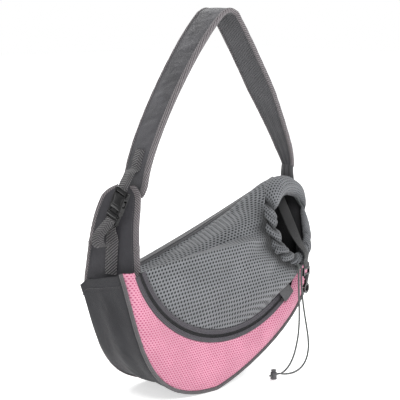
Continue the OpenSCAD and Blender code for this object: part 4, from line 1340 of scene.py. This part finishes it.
CORD_EXIT = arr(145, -96, 206)
LOCK_C = arr(76, -100, 8.5)
STRAND_A = (arr((-2, -2, -1), (-15, -14, -62), (8, -1, -110), (-4, -1, -150)),
            arr((-4, -1, -150), (-12, -1, -182), (-33, -3, -203), (-62, -4, -198)))
STRAND_B = (arr((4, -3, -2), (4, -3, -85), (32, 0, -128), (30, 0, -165)),
            arr((30, 0, -165), (25, -2, -204), (-15, -6, -212), (-62, -4, -195)))


def strands():
    hole = LOCK_C + arr(12, 0, 0)
    for name, curves, y in (("drawstring_strand_left", STRAND_A, 1.45), ("drawstring_strand_right", STRAND_B, -1.45)):
        run = np.vstack([bez(curves[0], span(20)), bez(curves[1], span(20)[1:])]) + CORD_EXIT
        run = [p for p in run if p[0] > hole[0] + 4 or p[2] > 40]
        run += [hole + arr(x, y, 0) for x in (2, -10, -18, -22)]
        start = CORD_EXIT + arr(2, 8, 4)
        line = resample(np.vstack([start, run]), 160)
        left = lengths(line)[-1] - lengths(line)
        r = lerp(1.35, 1.8, smooth(24, 45, left))
        dress(cord_object(name, line, r), "cord", "tail", ["drawstring_tail"])


SPRING_R, SPRING_Z = 2.6, (3.1, 5.35)


def lock_spring():
    """The cord lock's coil spring."""
    a = np.linspace(0, 6 * math.pi, 90)
    path = np.stack([LOCK_C[0] + SPRING_R * np.cos(a), LOCK_C[1] + SPRING_R * np.sin(a),
                     np.linspace(*SPRING_Z, 90)], 1)
    side, nor = frames(path, up=arr(0, 0, 1))
    c = np.arange(8) * math.pi / 4
    ob = sweep("cord_lock_coil", path, np.stack([np.cos(c), np.sin(c)], 1) * 0.33, side, nor)
    dress(ob, "steel", "tail", ["cord_lock_spring"])
    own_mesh(ob)


CAD_LOOKS = {
    "base_pad": ("pocket_nylon", 2.0), "buckle_socket": ("buckle", 1.2), "buckle_plug": ("buckle", 0.9),
    "prong_left": ("buckle", 0.4), "prong_right": ("buckle", 0.4), "zip_slider": ("black_metal", 0.5),
    "zip_pull": ("black_metal", 0.5), "hook_eye": ("buckle", 0.7), "hook_body": ("buckle", 0.8),
    "hook_gate": ("buckle", 0.3), "cord_lock_barrel": ("grey_plastic", 0.5),
    "cord_lock_plunger": ("grey_plastic", 0.5), "drawstring_loop": ("cord", 0)}


def dress_cad():
    for node, (material, width) in CAD_LOOKS.items():
        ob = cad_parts[node]
        ob.data.materials.clear()
        ob.data.materials.append(MATERIALS[material])
        for poly in ob.data.polygons:
            poly.use_smooth = False
        if width:
            bevel(ob, width, 2)


# ---------------------------------------------------------------- stage
def area_light(name, place, aim, size, power):
    data = bpy.data.lights.new(name, "AREA")
    data.shape = "DISK"
    data.size = size
    data.energy = power
    ob = bpy.data.objects.new(name, data)
    bpy.context.scene.collection.objects.link(ob)
    ob.location = place
    ob.rotation_euler = (Vector(aim) - Vector(place)).to_track_quat("-Z", "Y").to_euler()


def stage():
    p = np.array([[(x, y, 0.0) for y in (-12000, 12000)] for x in (-12000, 12000)], float)
    p[..., 2] = corners("seam_binding_front")[0][2] - 2.0
    floor = grid_object("studio_floor", p, facing=(0, 0, 1))
    floor.data.materials.append(MATERIALS["paper"])
    world = bpy.data.worlds.new("studio")
    bpy.context.scene.world = world
    world.use_nodes = True
    background = world.node_tree.nodes["Background"]
    background.inputs[0].default_value = (1, 1, 1, 1)
    # The camera sees a white studio; the light it gives the bag is dimmer, so that the key can model it.
    seen = world.node_tree.nodes.new("ShaderNodeLightPath")
    level = world.node_tree.nodes.new("ShaderNodeMapRange")
    level.inputs["To Min"].default_value = 0.62
    level.inputs["To Max"].default_value = 1.0
    world.node_tree.links.new(seen.outputs["Is Camera Ray"], level.inputs["Value"])
    world.node_tree.links.new(level.outputs[0], background.inputs[1])
    bpy.context.scene.view_settings.view_transform = "Standard"
    area_light("key", (-0.9, -2.0, 2.2), (0, 0, 0.25), 1.3, 62)
    area_light("fill", (1.8, -1.5, 1.2), (0, 0, 0.25), 1.8, 14)
    area_light("rim", (0.6, 1.8, 1.8), (0, 0, 0.35), 1.4, 30)
    data = bpy.data.cameras.new("camera")
    data.lens = 108.9
    cam = bpy.data.objects.new("camera", data)
    bpy.context.scene.collection.objects.link(cam)
    cam.location = (-1.492, -1.635, 0.700)
    cam.rotation_euler = (Vector((-0.020, 0, 0.340)) - cam.location).to_track_quat("-Z", "Y").to_euler()
    bpy.context.scene.camera = cam


front_panel()
back_panel()
gusset()
end_pocket()
seam_binding("seam_edging_front", -1, 0.0, "seam_binding_front")
seam_binding("seam_edging_back", 1, 0.06, "seam_binding_back")
back_hem()
cover_cloth()
collar()
head_end()
zip_pieces()
zip_tab()
strap_panel()
webbing_pieces()
buckle_mouldings()
keeper()
shoulder_strap()
upper_webbing()
right_root()
tether()
strands()
lock_spring()
dress_cad()
stage()
